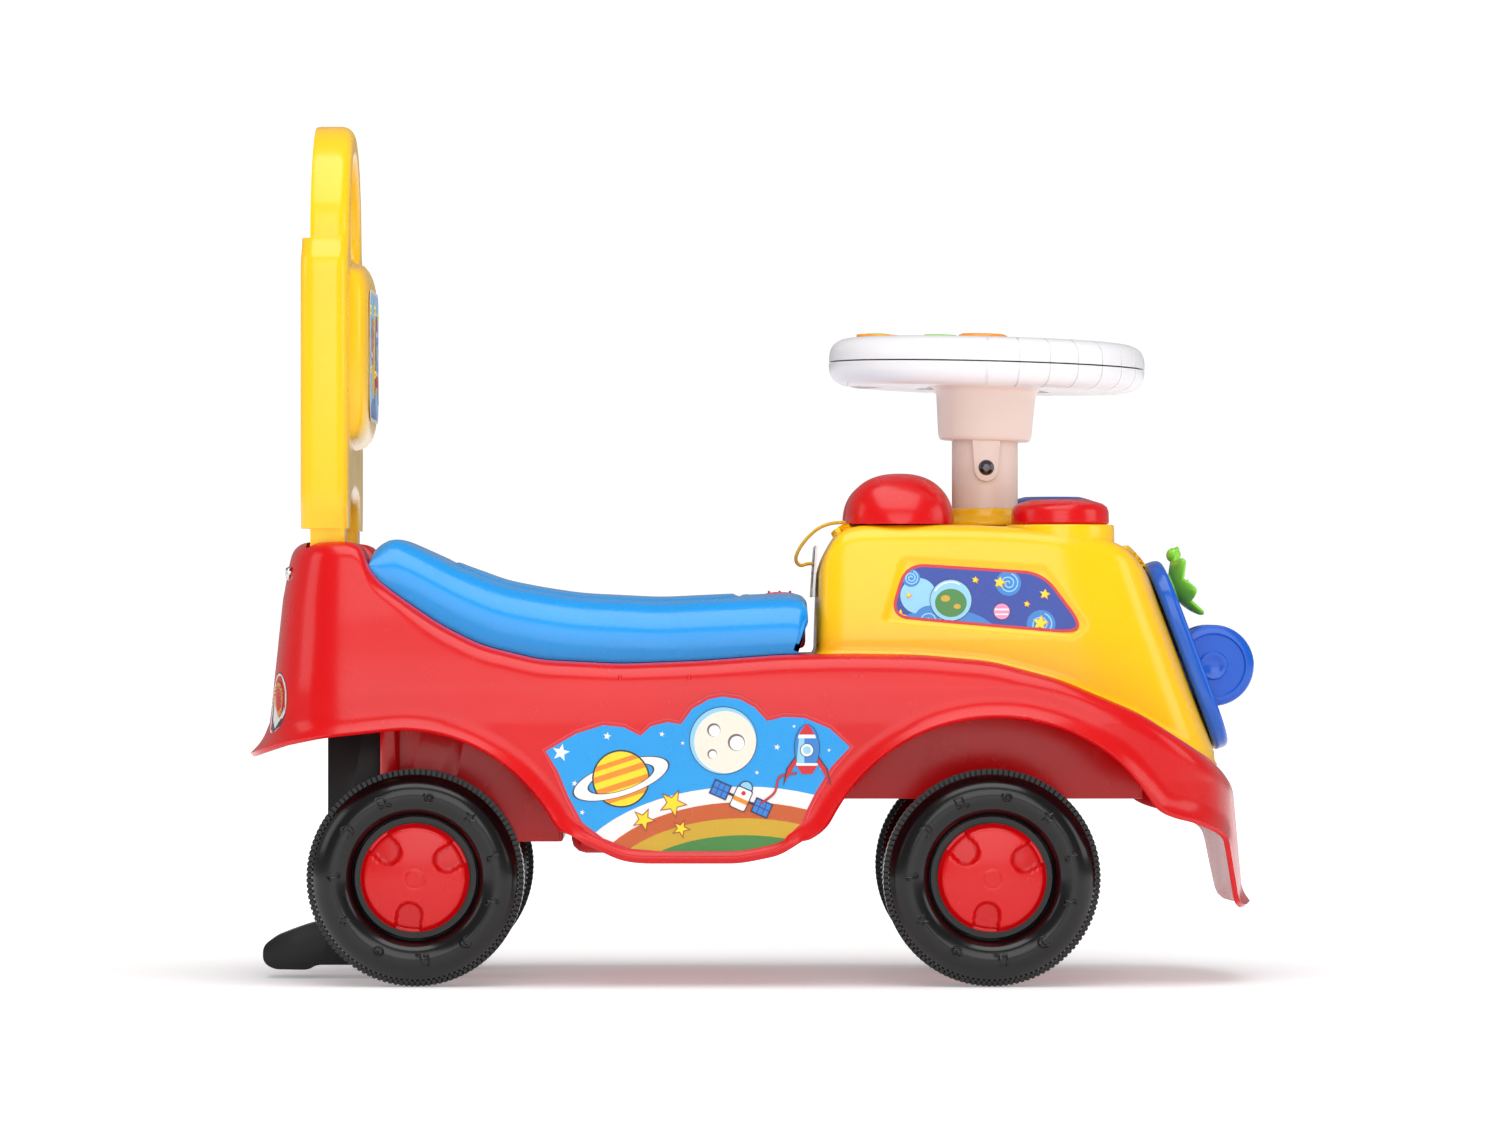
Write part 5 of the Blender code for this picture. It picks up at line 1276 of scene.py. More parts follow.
def make_tyre(name, x, side, sizes):
    """Wheel body with its tread rows and raised symbols."""
    profile = [(0.0043, 0.0030)] + [tuple(p) for p in rounded(TYRE_SIDE, 0.003, 3)]
    profile += [(0.0570, 0.0004), (0.0562, 0.0), (0.0570, -0.0004)]
    profile += [(r, -w) for r, w in reversed([tuple(p) for p in rounded(TYRE_SIDE[3:], 0.003, 3)])]
    profile += [(0.0352, -0.0115), (0.0312, -0.0060), (0.0110, -0.0060), (0.0110, -0.0180),
        (0.0043, -0.0180)]
    centre = Vector((0, 0, 0))
    tyre = turned(name, [(r, w) for r, w in profile], sizes.tyre_segments, centre, "Z")
    count = sizes.tread_blocks
    rows = []
    for row, (low, high) in enumerate(((-0.0087, -0.0007), (0.0007, 0.0087))):
        clear_selection()
        bpy.ops.mesh.primitive_cube_add(size=1, location=(0.0585, 0, (low + high) / 2))
        lug = bpy.context.object
        bpy.ops.transform.resize(value=(0.0030, 0.0019, high - low))
        bpy.ops.object.transform_apply(location=True, rotation=True, scale=True)
        bpy.ops.object.mode_set(mode="EDIT")
        bpy.ops.mesh.select_all(action="SELECT")
        shift = row * math.pi / count
        bpy.ops.mesh.spin(steps=count - 1, angle=2 * math.pi * (count - 1) / count, dupli=True,
            center=(0, 0, 0), axis=(0, 0, 1))
        bpy.ops.object.mode_set(mode="OBJECT")
        lug.data.transform(Matrix.Rotation(shift, 4, "Z"))
        rows.append(lug)
    symbols = []
    kinds = symbol_lines()
    for index in range(11):
        start = 2 * math.pi * index / 11 + 0.25
        for line in kinds[index % len(kinds)]:
            points = []
            line = [Vector(p) for p in line]
            fine = [a.lerp(b, k / 6) for a, b in zip(line, line[1:]) for k in range(6)] + [line[-1]]
            for across, outwards in fine:
                radius = 0.0452 + outwards * MM
                angle = start + across * MM / radius
                points.append((radius * math.cos(angle), radius * math.sin(angle),
                    tyre_level(radius) + 0.0001))
            symbols.append(tube("symbol", points, 0.00060, 6))
    tyre = join(name, tyre, *rows, *symbols)
    return moved(tyre, Matrix.Translation((x, side * WHEEL_MID_Y, WHEEL_RADIUS)) @ outward(side))


def make_hub_cap(name, x, side):
    """Domed cap with three scoops cut in from its rim and a ring line at its centre."""
    radius_out = 0.0300
    scoops = [math.radians(a) for a in (135, 30, 262)]
    rings = [radius_out * (k / 40) for k in range(41)]

    def dome(radius, angle):
        level = 0.0172 - 0.0030 * (radius / radius_out) ** 2
        level -= 0.0032 * ease(radius, 0.0262, 0.0302) ** 1.5
        here = Vector((radius * math.cos(angle), radius * math.sin(angle)))
        depth = 0.0
        for turn in scoops:
            ray = Vector((math.cos(turn), math.sin(turn)))
            reach = clamp(here.dot(ray), 0.0205, 0.0400)
            away = (here - ray * reach).length
            depth = max(depth, 0.0042 * (1 - ease(away, 0.0058, 0.0080)))
        groove = 0.0004 * math.exp(-((radius - 0.0055) / 0.0005) ** 2)
        return level - depth - groove

    segments = 144

    def place(column, row):
        angle = 2 * math.pi * column / segments
        radius = rings[40 - row]
        return Vector((radius * math.cos(angle), radius * math.sin(angle), dome(radius, angle)))

    top = skin("cap_top", segments + 1, 41, lambda i, j: place(segments - i, j))
    clean(top, 0.000005)
    thicken(top, 0.0022)
    wall = ring("cap_wall", 0.0278, radius_out, 0.0033, 0.0092, 96, (0, 0, 0), "Z", 0.0006)
    cap = join(name, top, wall)
    return moved(cap, Matrix.Translation((x, side * WHEEL_MID_Y, WHEEL_RADIUS)) @ outward(side))


# ---- front toys ---------------------------------------------------------------------------------------
def plate_frame():
    """Local Z is the plate's outward normal and local X runs up it."""
    foot = Vector((0.2380, 0.0, 0.1803))
    normal = Vector((math.cos(PLATE_LEAN), 0, math.sin(PLATE_LEAN)))
    upward = Vector((-math.sin(PLATE_LEAN), 0, math.cos(PLATE_LEAN)))
    turn = Matrix((upward, normal.cross(upward), normal)).transposed().to_4x4()
    return Matrix.Translation(foot + normal * 0.0007) @ turn


def make_front_plate():
    """Round-cornered plate of the front toy, with a groove near its edge."""
    half_l, half_w, thick = 0.056, 0.050, 0.0096
    plate = slab("plate_moulding", box_outline(-half_l, -half_w, half_l, half_w, 0.036, 12), 0.0, thick,
        "Z")
    soften(plate, 0.0032, 5)
    groove = slab("groove_outer", box_outline(-half_l + 0.006, -half_w + 0.006, half_l - 0.006,
        half_w - 0.006, 0.030, 12), thick - 0.0008, thick + 0.001, "Z")
    core = slab("groove_inner", box_outline(-half_l + 0.0075, -half_w + 0.0075, half_l - 0.0075,
        half_w - 0.0075, 0.0285, 12), 0.0, thick + 0.002, "Z")
    combine(plate, combine(groove, core))
    moved(plate, plate_frame())
    for side in (-1, 1):
        low, high = sorted((side * 0.0042, side * 0.0315))
        combine(plate, block("pocket", (0.21, low, ROLLER_Z - 0.0245), (0.30, high, ROLLER_Z + 0.0245)))
    ear = [(0.2440, ROLLER_Z - 0.0062)] + arc((ROLLER_X, ROLLER_Z), 0.0062, -90, 90, 16) + [(0.2440,
        ROLLER_Z + 0.0062)]
    ear = soften(slab("ear", ear, -0.0035, 0.0035, "Y"), 0.0008, 2)
    return join("plate_moulding", plate, ear)


def make_roller_drum(side):
    """Drum at one side of the roller."""
    r = ROLLER_RADIUS
    face = [(0.0, 0.0294), (0.0045, 0.0294), (0.0052, 0.0298), (0.0075, 0.0298), (0.0082, 0.0289),
        (r - 0.0056, 0.0289), (r - 0.0048, 0.0298), (r - 0.0022, 0.0298), (r - 0.0006, 0.0290),
        (r, 0.0274)]
    grip = []
    for k in range(4):
        low = 0.0092 + (3 - k) * 0.0042
        grip += [(r, low + 0.0030), (r - 0.0009, low + 0.0022), (r - 0.0009, low + 0.0008), (r, low)]
    inner = [(r, 0.0066), (r - 0.0016, 0.0048), (0.0, 0.0048)]
    profile = [(radius, side * level) for radius, level in face + grip + inner]
    return turned(f"roller_drum_{'right' if side < 0 else 'left'}", profile, 72, (ROLLER_X, 0, ROLLER_Z),
        "Y")


def make_star():
    """Seven cupped, pointed petals round a boss, one of them carrying a round knob."""
    base, tip = 0.0106, 0.0240
    petals = []
    columns, rows = 15, 15

    def place(column, row):
        t, s = row / (rows - 1), 2 * column / (columns - 1) - 1
        reach = 0.0030 + 0.0180 * t
        half = 0.0088 * math.sin(math.pi * (0.16 + 0.84 * t) ** 0.8) ** 0.75 if t < 1 else 0.0
        rise = base + 0.0015 + (tip - base - 0.0020) * t ** 1.5 + 0.0022 * s * s * (1 - t) - 0.0018 * (1
            - s * s) * t
        return Vector((reach, s * half, rise))

    for index in range(7):
        petal = skin("petal", columns, rows, place)
        clean(petal, 0.000005)
        thicken(petal, 0.0021, 0.0)
        modify(petal, "SUBSURF", levels=1, render_levels=1)
        petals.append(moved(petal, Matrix.Rotation(2 * math.pi * index / 7, 4, "Z")))
    boss = [(0.0, base), (0.0080, base), (0.0088, base + 0.0010), (0.0078, base + 0.0050),
        (0.0058, base + 0.0078), (0.0, base + 0.0088)]
    star_piece = join("star_moulding", turned("boss", rounded_profile(boss, 0.001, 3), 40, (0, 0, 0)),
        *petals)
    clear_selection()
    bpy.ops.mesh.primitive_uv_sphere_add(segments=28, ring_count=16, radius=0.0042, location=(0.0176, 0,
        tip - 0.0052))
    knob = bpy.context.object
    bpy.ops.object.transform_apply(location=True, rotation=True, scale=True)
    star_piece = join("star_moulding", star_piece, knob)
    return moved(star_piece, plate_frame() @ Matrix.Translation((0.0375, 0, 0)))


def make_knob(word, side, lift):
    """Turning knob on one of the pads of the bonnet."""
    base = BONNET_TOP_Z + 0.0003
    top = base + 0.0137 + lift
    r = KNOB_RADIUS
    profile = [(0.0, 0.2480), (0.0040, 0.2480), (0.0040, base), (r - 0.0008, base), (r, base + 0.0010),
        (r - 0.0002, top - 0.0066), (r - 0.0012, top - 0.0040), (r - 0.0036, top - 0.0022),
        (r - 0.0080, top - 0.0008), (0.0160, top + 0.0001), (0.0148, top - 0.0012),
        (0.0080, top - 0.0016), (0.0, top - 0.0017)]
    y = side * KNOB_Y
    knob = turned(f"{word}_knob_moulding", profile, 96, (0, 0, 0))
    emblem = slab("emblem", star((0, 0), 0.0115, turn=36), top - 0.0030, top - 0.0006, "Z")
    soften(emblem, 0.0004, 2)
    knob = join(f"{word}_knob_moulding", knob, emblem)
    return moved(knob, Matrix.Translation((KNOB_X, y, 0)))


def make_handset():
    """Toy telephone handset: two round cups joined by a grip, lying face down."""
    low = BONNET_TOP_Z + 0.0003
    ends = [(-0.0760, 0.0), (-0.0745, 0.30), (-0.0700, 0.62), (-0.0630, 0.86), (-CUP_Y, 1.0),
        (-0.0360, 0.90), (-0.0290, 0.68), (-0.0225, 0.48), (-0.0150, 0.43), (0.0, 0.42), (0.0150, 0.43),
        (0.0225, 0.48), (0.0290, 0.68), (0.0360, 0.90), (CUP_Y, 1.0), (0.0630, 0.86), (0.0700, 0.62),
        (0.0745, 0.30), (0.0760, 0.0)]
    ends = [(p.x, p.y) for p in smooth_route([(a, b, 0) for a, b in ends], 5)]
    tops = [(-0.0760, 0.0), (-0.0735, 0.0085), (-0.0680, 0.0180), (-0.0600, 0.0250), (-CUP_Y, 0.0284),
        (-0.0370, 0.0262), (-0.0280, 0.0215), (-0.0180, 0.0188), (0.0, 0.0180), (0.0180, 0.0188),
        (0.0280, 0.0215), (0.0370, 0.0262), (CUP_Y, 0.0284), (0.0600, 0.0250), (0.0680, 0.0180),
        (0.0735, 0.0085), (0.0760, 0.0)]
    tops = [(p.x, p.y) for p in smooth_route([(a, b, 0) for a, b in tops], 5)]
    count, around = 110, 45

    def place(column, row):
        y = -0.0760 + 0.1520 * (0.5 - 0.5 * math.cos(math.pi * column / (count - 1)))
        half = 0.0305 * max(0.0, look_up(ends, y))
        height = max(0.0, look_up(tops, y))
        lift = 0.0050 * (1 - ease(abs(y), 0.0200, 0.0290))
        angle = math.pi * row / around
        if row <= around:
            c, s = math.cos(angle), math.sin(angle)
            wide = math.copysign(abs(c) ** 0.86, c)
            tall = s ** (0.80 if c < 0 else 0.92)
            return Vector((HANDSET_X + half * wide, y, low + lift + max(0.0, height - lift) * tall))
        return Vector((HANDSET_X + half * (2 * (row - around) / 6 - 1), y, low + lift))

    handset = skin("handset_moulding", count, around + 7, place)
    return clean(handset, 0.000005)


# ---- steering -------------------------------------------------------------------------------------------
def tilt():
    """Lean of the steering wheel about the column."""
    centre = Vector((RIM_X, 0, RIM_SPLIT_Z))
    lower = centre - Vector((0, 0, 0.0015))
    return Matrix.Translation(lower) @ Matrix.Rotation(RIM_TILT, 4, "Y") @ Matrix.Translation(-centre)


RIM_UNDER = [(0.0262, 0.3345), (0.0300, 0.3352), (0.0480, 0.3362), (0.0640, 0.3350), (0.0740, RIM_LOW_Z),
    (0.0810, 0.3341), (0.0862, 0.3366), (0.0888, 0.3405), (RIM_RADIUS, 0.3440), (RIM_RADIUS, 0.3468)]
RIM_OVER = [(RIM_RADIUS, 0.3476), (RIM_RADIUS, 0.3512), (0.0886, 0.3552), (0.0862, 0.3585),
    (0.0820, 0.3606), (0.0760, RIM_TOP_Z), (0.0520, 0.3608), (0.0200, 0.3612), (0.0, 0.3612)]


def finger_hole(side, extra):
    """Outline of one finger hole of the steering wheel."""
    outer = arc((0, 0), 0.0640 + extra, side * 90 - 38, side * 90 + 38, 20)
    inner = arc((0, 0), 0.0500 - extra, side * 90 + 38, side * 90 - 38, 20)
    return rounded(outer + inner, 0.004, 4, closed=True)


def rim_cutters():
    """Finger holes and grip grooves of a rim shell, as one cutter."""
    cutters = [slab("hole", finger_hole(side, 0.0), 0.30, 0.40, "Z") for side in (-1, 1)]
    for index in range(-8, 9):
        line = [(0.0700, 0.3300), (0.0820, 0.3330), (0.0900, 0.3380), (0.0910, 0.3472), (0.0900, 0.3570),
            (0.0820, 0.3620), (0.0700, 0.3640), (0.0700, 0.3608), (0.0817, 0.3599), (0.0857, 0.3580),
            (0.0880, 0.3550), (0.0888, 0.3510), (0.0888, 0.3440), (0.0882, 0.3408), (0.0857, 0.3371),
            (0.0808, 0.3347), (0.0700, 0.3343)]
        groove = slab("groove", rounded(line, 0.001, 2, closed=True), -0.00045, 0.00045, "Y")
        cutters.append(moved(groove, Matrix.Rotation(math.radians(11.5 * index), 4, "Z")))
    return join("rim_cutters", *cutters)


def make_rim_shell(name, profile, inner):
    """One half of the hollow steering wheel."""
    outline = rounded_profile(profile, 0.004, 4) + inner
    shell = turned(name, outline, 120, (0, 0, 0))
    combine(shell, rim_cutters())
    return shell


def make_wheel_lower():
    """Lower half of the steering wheel, with its door opening and slots."""
    inner = [(0.0869, 0.3468), (0.0869, 0.3440), (0.0850, 0.3400), (0.0800, 0.3366), (0.0740, 0.3360),
        (0.0640, 0.3375), (0.0480, 0.3387), (0.0262, 0.3375)]
    shell = make_rim_shell("wheel_under", RIM_UNDER, inner)
    door = slab("door_hole", box_outline(-0.0790, -0.0290, -0.0330, 0.0290, 0.003), 0.3200, 0.3395, "Z")
    combine(shell, door)
    for angle in (-60, -20, 20, 60, 120, 160, 200, 240):
        slot = slab("slot", box_outline(0.0700, -0.0008, 0.0770, 0.0008, 0.0006), 0.3300, 0.3352, "Z")
        combine(shell, moved(slot, Matrix.Rotation(math.radians(angle), 4, "Z")))
    liners = []
    for side in (-1, 1):
        wall = slab("liner", finger_hole(side, 0.0018), 0.3362, 0.3596, "Z")
        liners.append(combine(wall, slab("liner_hole", finger_hole(side, 0.0), 0.33, 0.37, "Z")))
    shell = join("wheel_under", shell, *liners)
    return moved(moved(shell, Matrix.Translation((RIM_X, 0, 0))), tilt())


BUTTONS = {
    # name: (ahead of the wheel's centre, sideways, radius, height above the rim, finish, slot)
    "centre_button": (-0.0025, 0.0, 0.0145, 0.0045, "orange_gloss", "orange_plastic"),
    "green_button": (-0.0270, -0.0140, 0.0110, 0.0028, "green_gloss", "green_plastic"),
    "red_button": (0.0200, 0.0150, 0.0110, 0.0026, "red_gloss", "red_plastic"),
    "rim_button": (-0.0620, 0.0, 0.0088, 0.0030, "green_gloss", "green_plastic"),
}


def make_wheel_upper():
    """Upper half of the steering wheel, with its button holes."""
    inner = [(0.0, 0.3587), (0.0200, 0.3587), (0.0520, 0.3583), (0.0760, 0.3588), (0.0815, 0.3578),
        (0.0850, 0.3555), (0.0869, 0.3512), (0.0869, 0.3476)]
    shell = make_rim_shell("wheel_cover", RIM_OVER, inner)
    for dx, y, radius, _, _, _ in BUTTONS.values():
        hole = turned("button_hole", box_outline(0.0, 0.35, radius + 0.0003, 0.37), 40, (dx, y, 0))
        combine(shell, hole)
    return moved(moved(shell, Matrix.Translation((RIM_X, 0, 0))), tilt())


def make_button(name):
    """Push button of the steering wheel."""
    dx, y, radius, proud, _, _ = BUTTONS[name]
    foot, top, r = RIM_TOP_Z - 0.0065, RIM_TOP_Z + proud, radius - 0.0003
    profile = [(0.0, foot), (r, foot), (r, top - 0.0022), (r - 0.0005, top - 0.0011),
        (r * 0.82, top - 0.0003), (r * 0.72, top - 0.0004), (r * 0.66, top - 0.0007),
        (r * 0.40, top - 0.0001), (0.0, top)]
    button = turned(name + "_cap", rounded_profile(profile, 0.0004, 2), 56, (RIM_X + dx, y, 0))
    return moved(button, tilt())


def make_boss():
    """Socket of the steering wheel round the column, with its screw tongue."""
    outline = [(0.0195, 0.3060), (0.0240, 0.3047), (0.0256, 0.3054), (0.0264, 0.3075), (0.0280, 0.3290),
        (0.0292, 0.3336), (0.0330, 0.3356), (0.0330, 0.3362), (0.0195, 0.3362)]
    boss = turned("wheel_boss", rounded_profile(outline, 0.0008, 2, closed=True), 72, (RIM_X, 0, 0))
    moved(boss, tilt())
    tip = arc((STEER_X, SCREW_Z - 0.001), 0.0068, 180, 360, 20)
    tongue = [(STEER_X - 0.0088, 0.3120)] + tip + [(STEER_X + 0.0088, 0.3120)]
    tongue = slab("tongue", tongue, -0.0224, -0.0187, "Y")
    soften(tongue, 0.0007, 2)
    return join("wheel_boss", boss, tongue)


def make_column():
    """Steering column with its two mould seams."""
    profile = [(0.0, 0.1100), (0.0120, 0.1100), (0.0120, 0.2640), (0.0178, 0.2640), (0.0187, 0.2649),
        (0.0184, 0.3280), (0.0, 0.3280)]
    column = turned("column_moulding", profile, 72, (STEER_X, 0, 0))
    for side in (-1, 1):
        seam = tube("seam", [(STEER_X + side * 0.0183, 0, 0.2655), (STEER_X + side * 0.0183, 0, 0.3050)],
            0.0004, 6)
        column = join("column_moulding", column, seam)
    return column


def make_column_screw():
    """Cross-head screw through the column."""
    head = [(0.0, -0.0252), (0.0020, -0.0250), (0.0036, -0.0240), (0.0044, -0.0226), (0.0044, -0.0220),
        (0.0019, -0.0220), (0.0019, 0.0226), (0.0, 0.0226)]
    screw = turned("phillips_screw", rounded_profile(head, 0.0003, 2), 40, (STEER_X, 0, SCREW_Z), "Y")
    for a, b in CROSS:
        combine(screw, block("cross", (STEER_X - a, -0.0270, SCREW_Z - b), (STEER_X + a, -0.0238,
            SCREW_Z + b)))
    return screw


def make_cord(sizes):
    """The cord, the points of its route and its length."""
    points = smooth_route(CORD_ROUTE, 5)
    cord = tube("tether_cord", points, sizes.cord_diameter / 2, 12)
    length = sum((b - a).length for a, b in zip(points, points[1:]))
    return cord, points, length


def cord_material():
    """Soft yellow cord: a fine twist that follows its own length."""
    colour = tuple(bpy.context.scene.push_car_colours.cord)
    material = new_material("cord_twist", colour, 0.45, 0.0, 0.06, 0.02, 0.0)
    nodes, links = material.node_tree.nodes, material.node_tree.links
    shader = nodes["Principled BSDF"]
    own = nodes.new("ShaderNodeUVMap")
    stretch = nodes.new("ShaderNodeMapping")
    stretch.inputs["Scale"].default_value = (46.0, 3.0, 1.0)
    wave = nodes.new("ShaderNodeTexWave")
    wave.bands_direction = "DIAGONAL"
    wave.inputs["Scale"].default_value = 0.5
    bump = nodes.new("ShaderNodeBump")
    bump.inputs["Strength"].default_value = 0.35
    bump.inputs["Distance"].default_value = 0.0002
    links.new(own.outputs["UV"], stretch.inputs["Vector"])
    links.new(stretch.outputs["Vector"], wave.inputs["Vector"])
    links.new(wave.outputs["Fac"], bump.inputs["Height"])
    links.new(bump.outputs["Normal"], shader.inputs["Normal"])
    return material


# ---- settings --------------------------------------------------------------------------------------
def colour_setting(label, code, about):
    """Colour property with its description."""
    return bpy.props.FloatVectorProperty(name=label, description=about, subtype="COLOR", size=3, min=0.0,
        max=1.0, default=linear(code))


def length_setting(label, default, low, high, about):
    """Length property in metres with its limits."""
    return bpy.props.FloatProperty(name=label, description=about, default=default, min=low, max=high,
        unit="LENGTH", precision=4)


class PushCarColours(bpy.types.PropertyGroup):
    """Colours of the moulded parts."""
    red: colour_setting("Body", "D00309", "Colour of the body, backrest, strut and red parts")
    yellow: colour_setting("Bonnet", "FBC20A", "Colour of the bonnet and the column collar")
    sky: colour_setting("Seat", "0694E4", "Colour of the seat and the far knob")
    deep_blue: colour_setting("Front plate", "0A57C4", "Colour of the front plate and the roller drums")
    white: colour_setting("Steering wheel", "E2E1E4", "Colour of the steering wheel's shells")
    # On the steering wheel's socket this cream colour is painted warm reflection, not the socket's own
    # colour.
    cream: colour_setting("Column", "EBD6CC", "Colour of the column and the wheel's socket")
    green: colour_setting("Star", "8AD83A", "Colour of the star and the green buttons")
    orange: colour_setting("Buttons", "F7941E", "Colour of the centre button and the button ring")
    black: colour_setting("Tyres", "08080A", "Colour of the tyres and the catch")
    steel: colour_setting("Metal", "C9C9CC", "Colour of the pins, screws and axles")
    circuit: colour_setting("Circuit board", "1B6B38", "Colour of the circuit board")
    cell: colour_setting("Cells", "5A5A60", "Colour of the wrap round the cells")
    cord: colour_setting("Cord", "E8B93A", "Colour of the handset's tether cord")


class PushCarSizes(bpy.types.PropertyGroup):
    """Sizes that shape the soft edges and small features."""
    deck_fillet: length_setting("Deck edge", 0.0105, 0.004, 0.016,
        "Rounding between the deck and the body's sides")
    arch_flare: length_setting("Arch flare", 0.0040, 0.0, 0.006, "How far the wheel arches turn outwards")
    arch_flare_width: length_setting("Arch flare width", 0.0105, 0.003, 0.02,
        "Height of the flare round the arches")
    sill_bead: length_setting("Sill bead", 0.0030, 0.001, 0.004,
        "Radius of the rolled edge under the doors")
    rim_round: length_setting("Rim rounding", 0.0009, 0.0003, 0.0014, "Rounding of the shell's cut edges")
    bonnet_fillet: length_setting("Bonnet edge", 0.0100, 0.004, 0.016, "Rounding round the bonnet's top")
    cord_diameter: length_setting("Cord diameter", 0.0020, 0.001, 0.004,
        "Diameter of the handset's tether cord")
    tyre_segments: bpy.props.IntProperty(name="Tyre segments", description="Facets round each tyre",
        default=144, min=48, max=256)
    tread_blocks: bpy.props.IntProperty(name="Tread blocks",
        description="Blocks in each of a tyre's two tread rows", default=120, min=24, max=180)


class PushCarStage(bpy.types.PropertyGroup):
    """The camera and the lights."""
    camera_distance: length_setting("Camera distance", 3.85, 1.0, 8.0,
        "How far the camera stands to the car's right")
    focal_length: bpy.props.FloatProperty(name="Focal length", description="Camera lens in millimetres",
        default=163.0, min=30.0, max=300.0)
    key_power: bpy.props.FloatProperty(name="Overhead power", description="Power of the overhead softbox",
        default=22.0, min=0.0, unit="POWER")
    fill_power: bpy.props.FloatProperty(name="Fill power", description="Power of the side fill lights",
        default=19.0, min=0.0, unit="POWER")
    world_strength: bpy.props.FloatProperty(name="Surroundings",
        description="Brightness of the white surroundings", default=0.30, min=0.0)


# ---- operators ---------------------------------------------------------------------------------------
class PieceOperator:
    """Builds its pieces with the scene's sizes; a step that fails raises its own error."""
    bl_options = {"REGISTER", "UNDO"}

    def execute(self, context):
        clear_selection()
        self.build(context.scene.push_car_sizes)
        clear_selection()
        return {"FINISHED"}


class PUSHCAR_OT_body(PieceOperator, bpy.types.Operator):
    """Build the body's shell with its storage tub and inner walls"""
    bl_idname = "pushcar.body"
    bl_label = "Body"

    def build(self, sizes):
        body = join("body_moulding", make_body(sizes), make_body_inside())
        finish(body, "chassis", "red_gloss", 38, ("body_shell",))


class PUSHCAR_OT_stickers(PieceOperator, bpy.types.Operator):
    """Build the printed stickers and lamps of the body"""
    bl_idname = "pushcar.stickers"
    bl_label = "Stickers"

    def build(self, sizes):
        scene = make_side_sticker()
        finish(mirrored(scene, "side_sticker_left"), "chassis")
        finish(scene, "chassis")
        for side in (-1, 1):
            lamp = bend_onto_body(make_tail_lamp(side), -0.2735, -0.0860, 0.1560, side)
            finish(lamp, "chassis")
        window = make_window_sticker()
        finish(mirrored(window, "window_sticker_left"), "chassis")
        finish(window, "chassis")
        finish(make_dash_sticker(), "chassis")
        finish(make_backrest_sticker(), "chassis")


class PUSHCAR_OT_bonnet(PieceOperator, bpy.types.Operator):
    """Build the yellow bonnet"""
    bl_idname = "pushcar.bonnet"
    bl_label = "Bonnet"

    def build(self, sizes):
        finish(make_bonnet(sizes), "chassis", "yellow_gloss", 38, ("bonnet",))


class PUSHCAR_OT_backrest(PieceOperator, bpy.types.Operator):
    """Build the backrest and the strut under the tail"""
    bl_idname = "pushcar.backrest"
    bl_label = "Backrest and strut"

    def build(self, sizes):
        backrest = join("backrest_moulding", make_backrest(), make_backrest_panel())
        finish(backrest, "chassis", "yellow_gloss", 40, ("backrest",))
        finish(make_strut(), "chassis", "moulded_black", 35, ("anti_tip_strut",))
        for side, word in ((-1, "right"), (1, "left")):
            finish(make_socket_screw(side), "chassis", "bright_steel", 30,
                (f"backrest_screw_{word}",))


class PUSHCAR_OT_seat(PieceOperator, bpy.types.Operator):
    """Build the tip-up seat and its catch"""
    bl_idname = "pushcar.seat"
    bl_label = "Seat"

    def build(self, sizes):
        finish(make_seat(), "seat", "sky_gloss", 40, ("seat_lid",))
        finish(make_catch(), "catch", "red_gloss", 40, ("seat_catch",))


class PUSHCAR_OT_wheels(PieceOperator, bpy.types.Operator):
    """Build the four tyres and their hub caps"""
    bl_idname = "pushcar.wheels"
    bl_label = "Road wheels"

    def build(self, sizes):
        for end, x in (("rear", REAR_AXLE_X), ("front", STEER_X)):
            for word, side in (("right", -1), ("left", 1)):
                name = f"{end}_{word}"
                tyre = make_tyre(f"{name}_road_tyre", x, side, sizes)
                finish(tyre, f"{name}_wheel", "tyre_black", 32, (f"{name}_tyre",))
                cap = make_hub_cap(f"{name}_dish_cap", x, side)
                finish(cap, f"{name}_wheel", "red_gloss", 40, (f"{name}_hub_cap",))


class PUSHCAR_OT_toys(PieceOperator, bpy.types.Operator):
    """Build the front plate, roller, star, knobs and handset"""
    bl_idname = "pushcar.toys"
    bl_label = "Bonnet toys"

    def build(self, sizes):
        finish(make_front_plate(), "chassis", "blue_gloss", 38, ("front_plate",))
        for side, word in ((-1, "right"), (1, "left")):
            finish(make_roller_drum(side), "roller", "blue_gloss", 35,
                (f"roller_{word}",))
        finish(make_star(), "spinner", "green_gloss", 50, ("star_spinner",))
        red = make_knob("red", -1, 0.0)
        finish(red, "red_knob", "red_gloss", 38, ("red_knob",))
        blue = make_knob("blue", 1, 0.003)
        finish(blue, "blue_knob", "blue_gloss", 38, ("blue_knob",))
        finish(make_handset(), "handset", "red_gloss", 60, ("handset",))


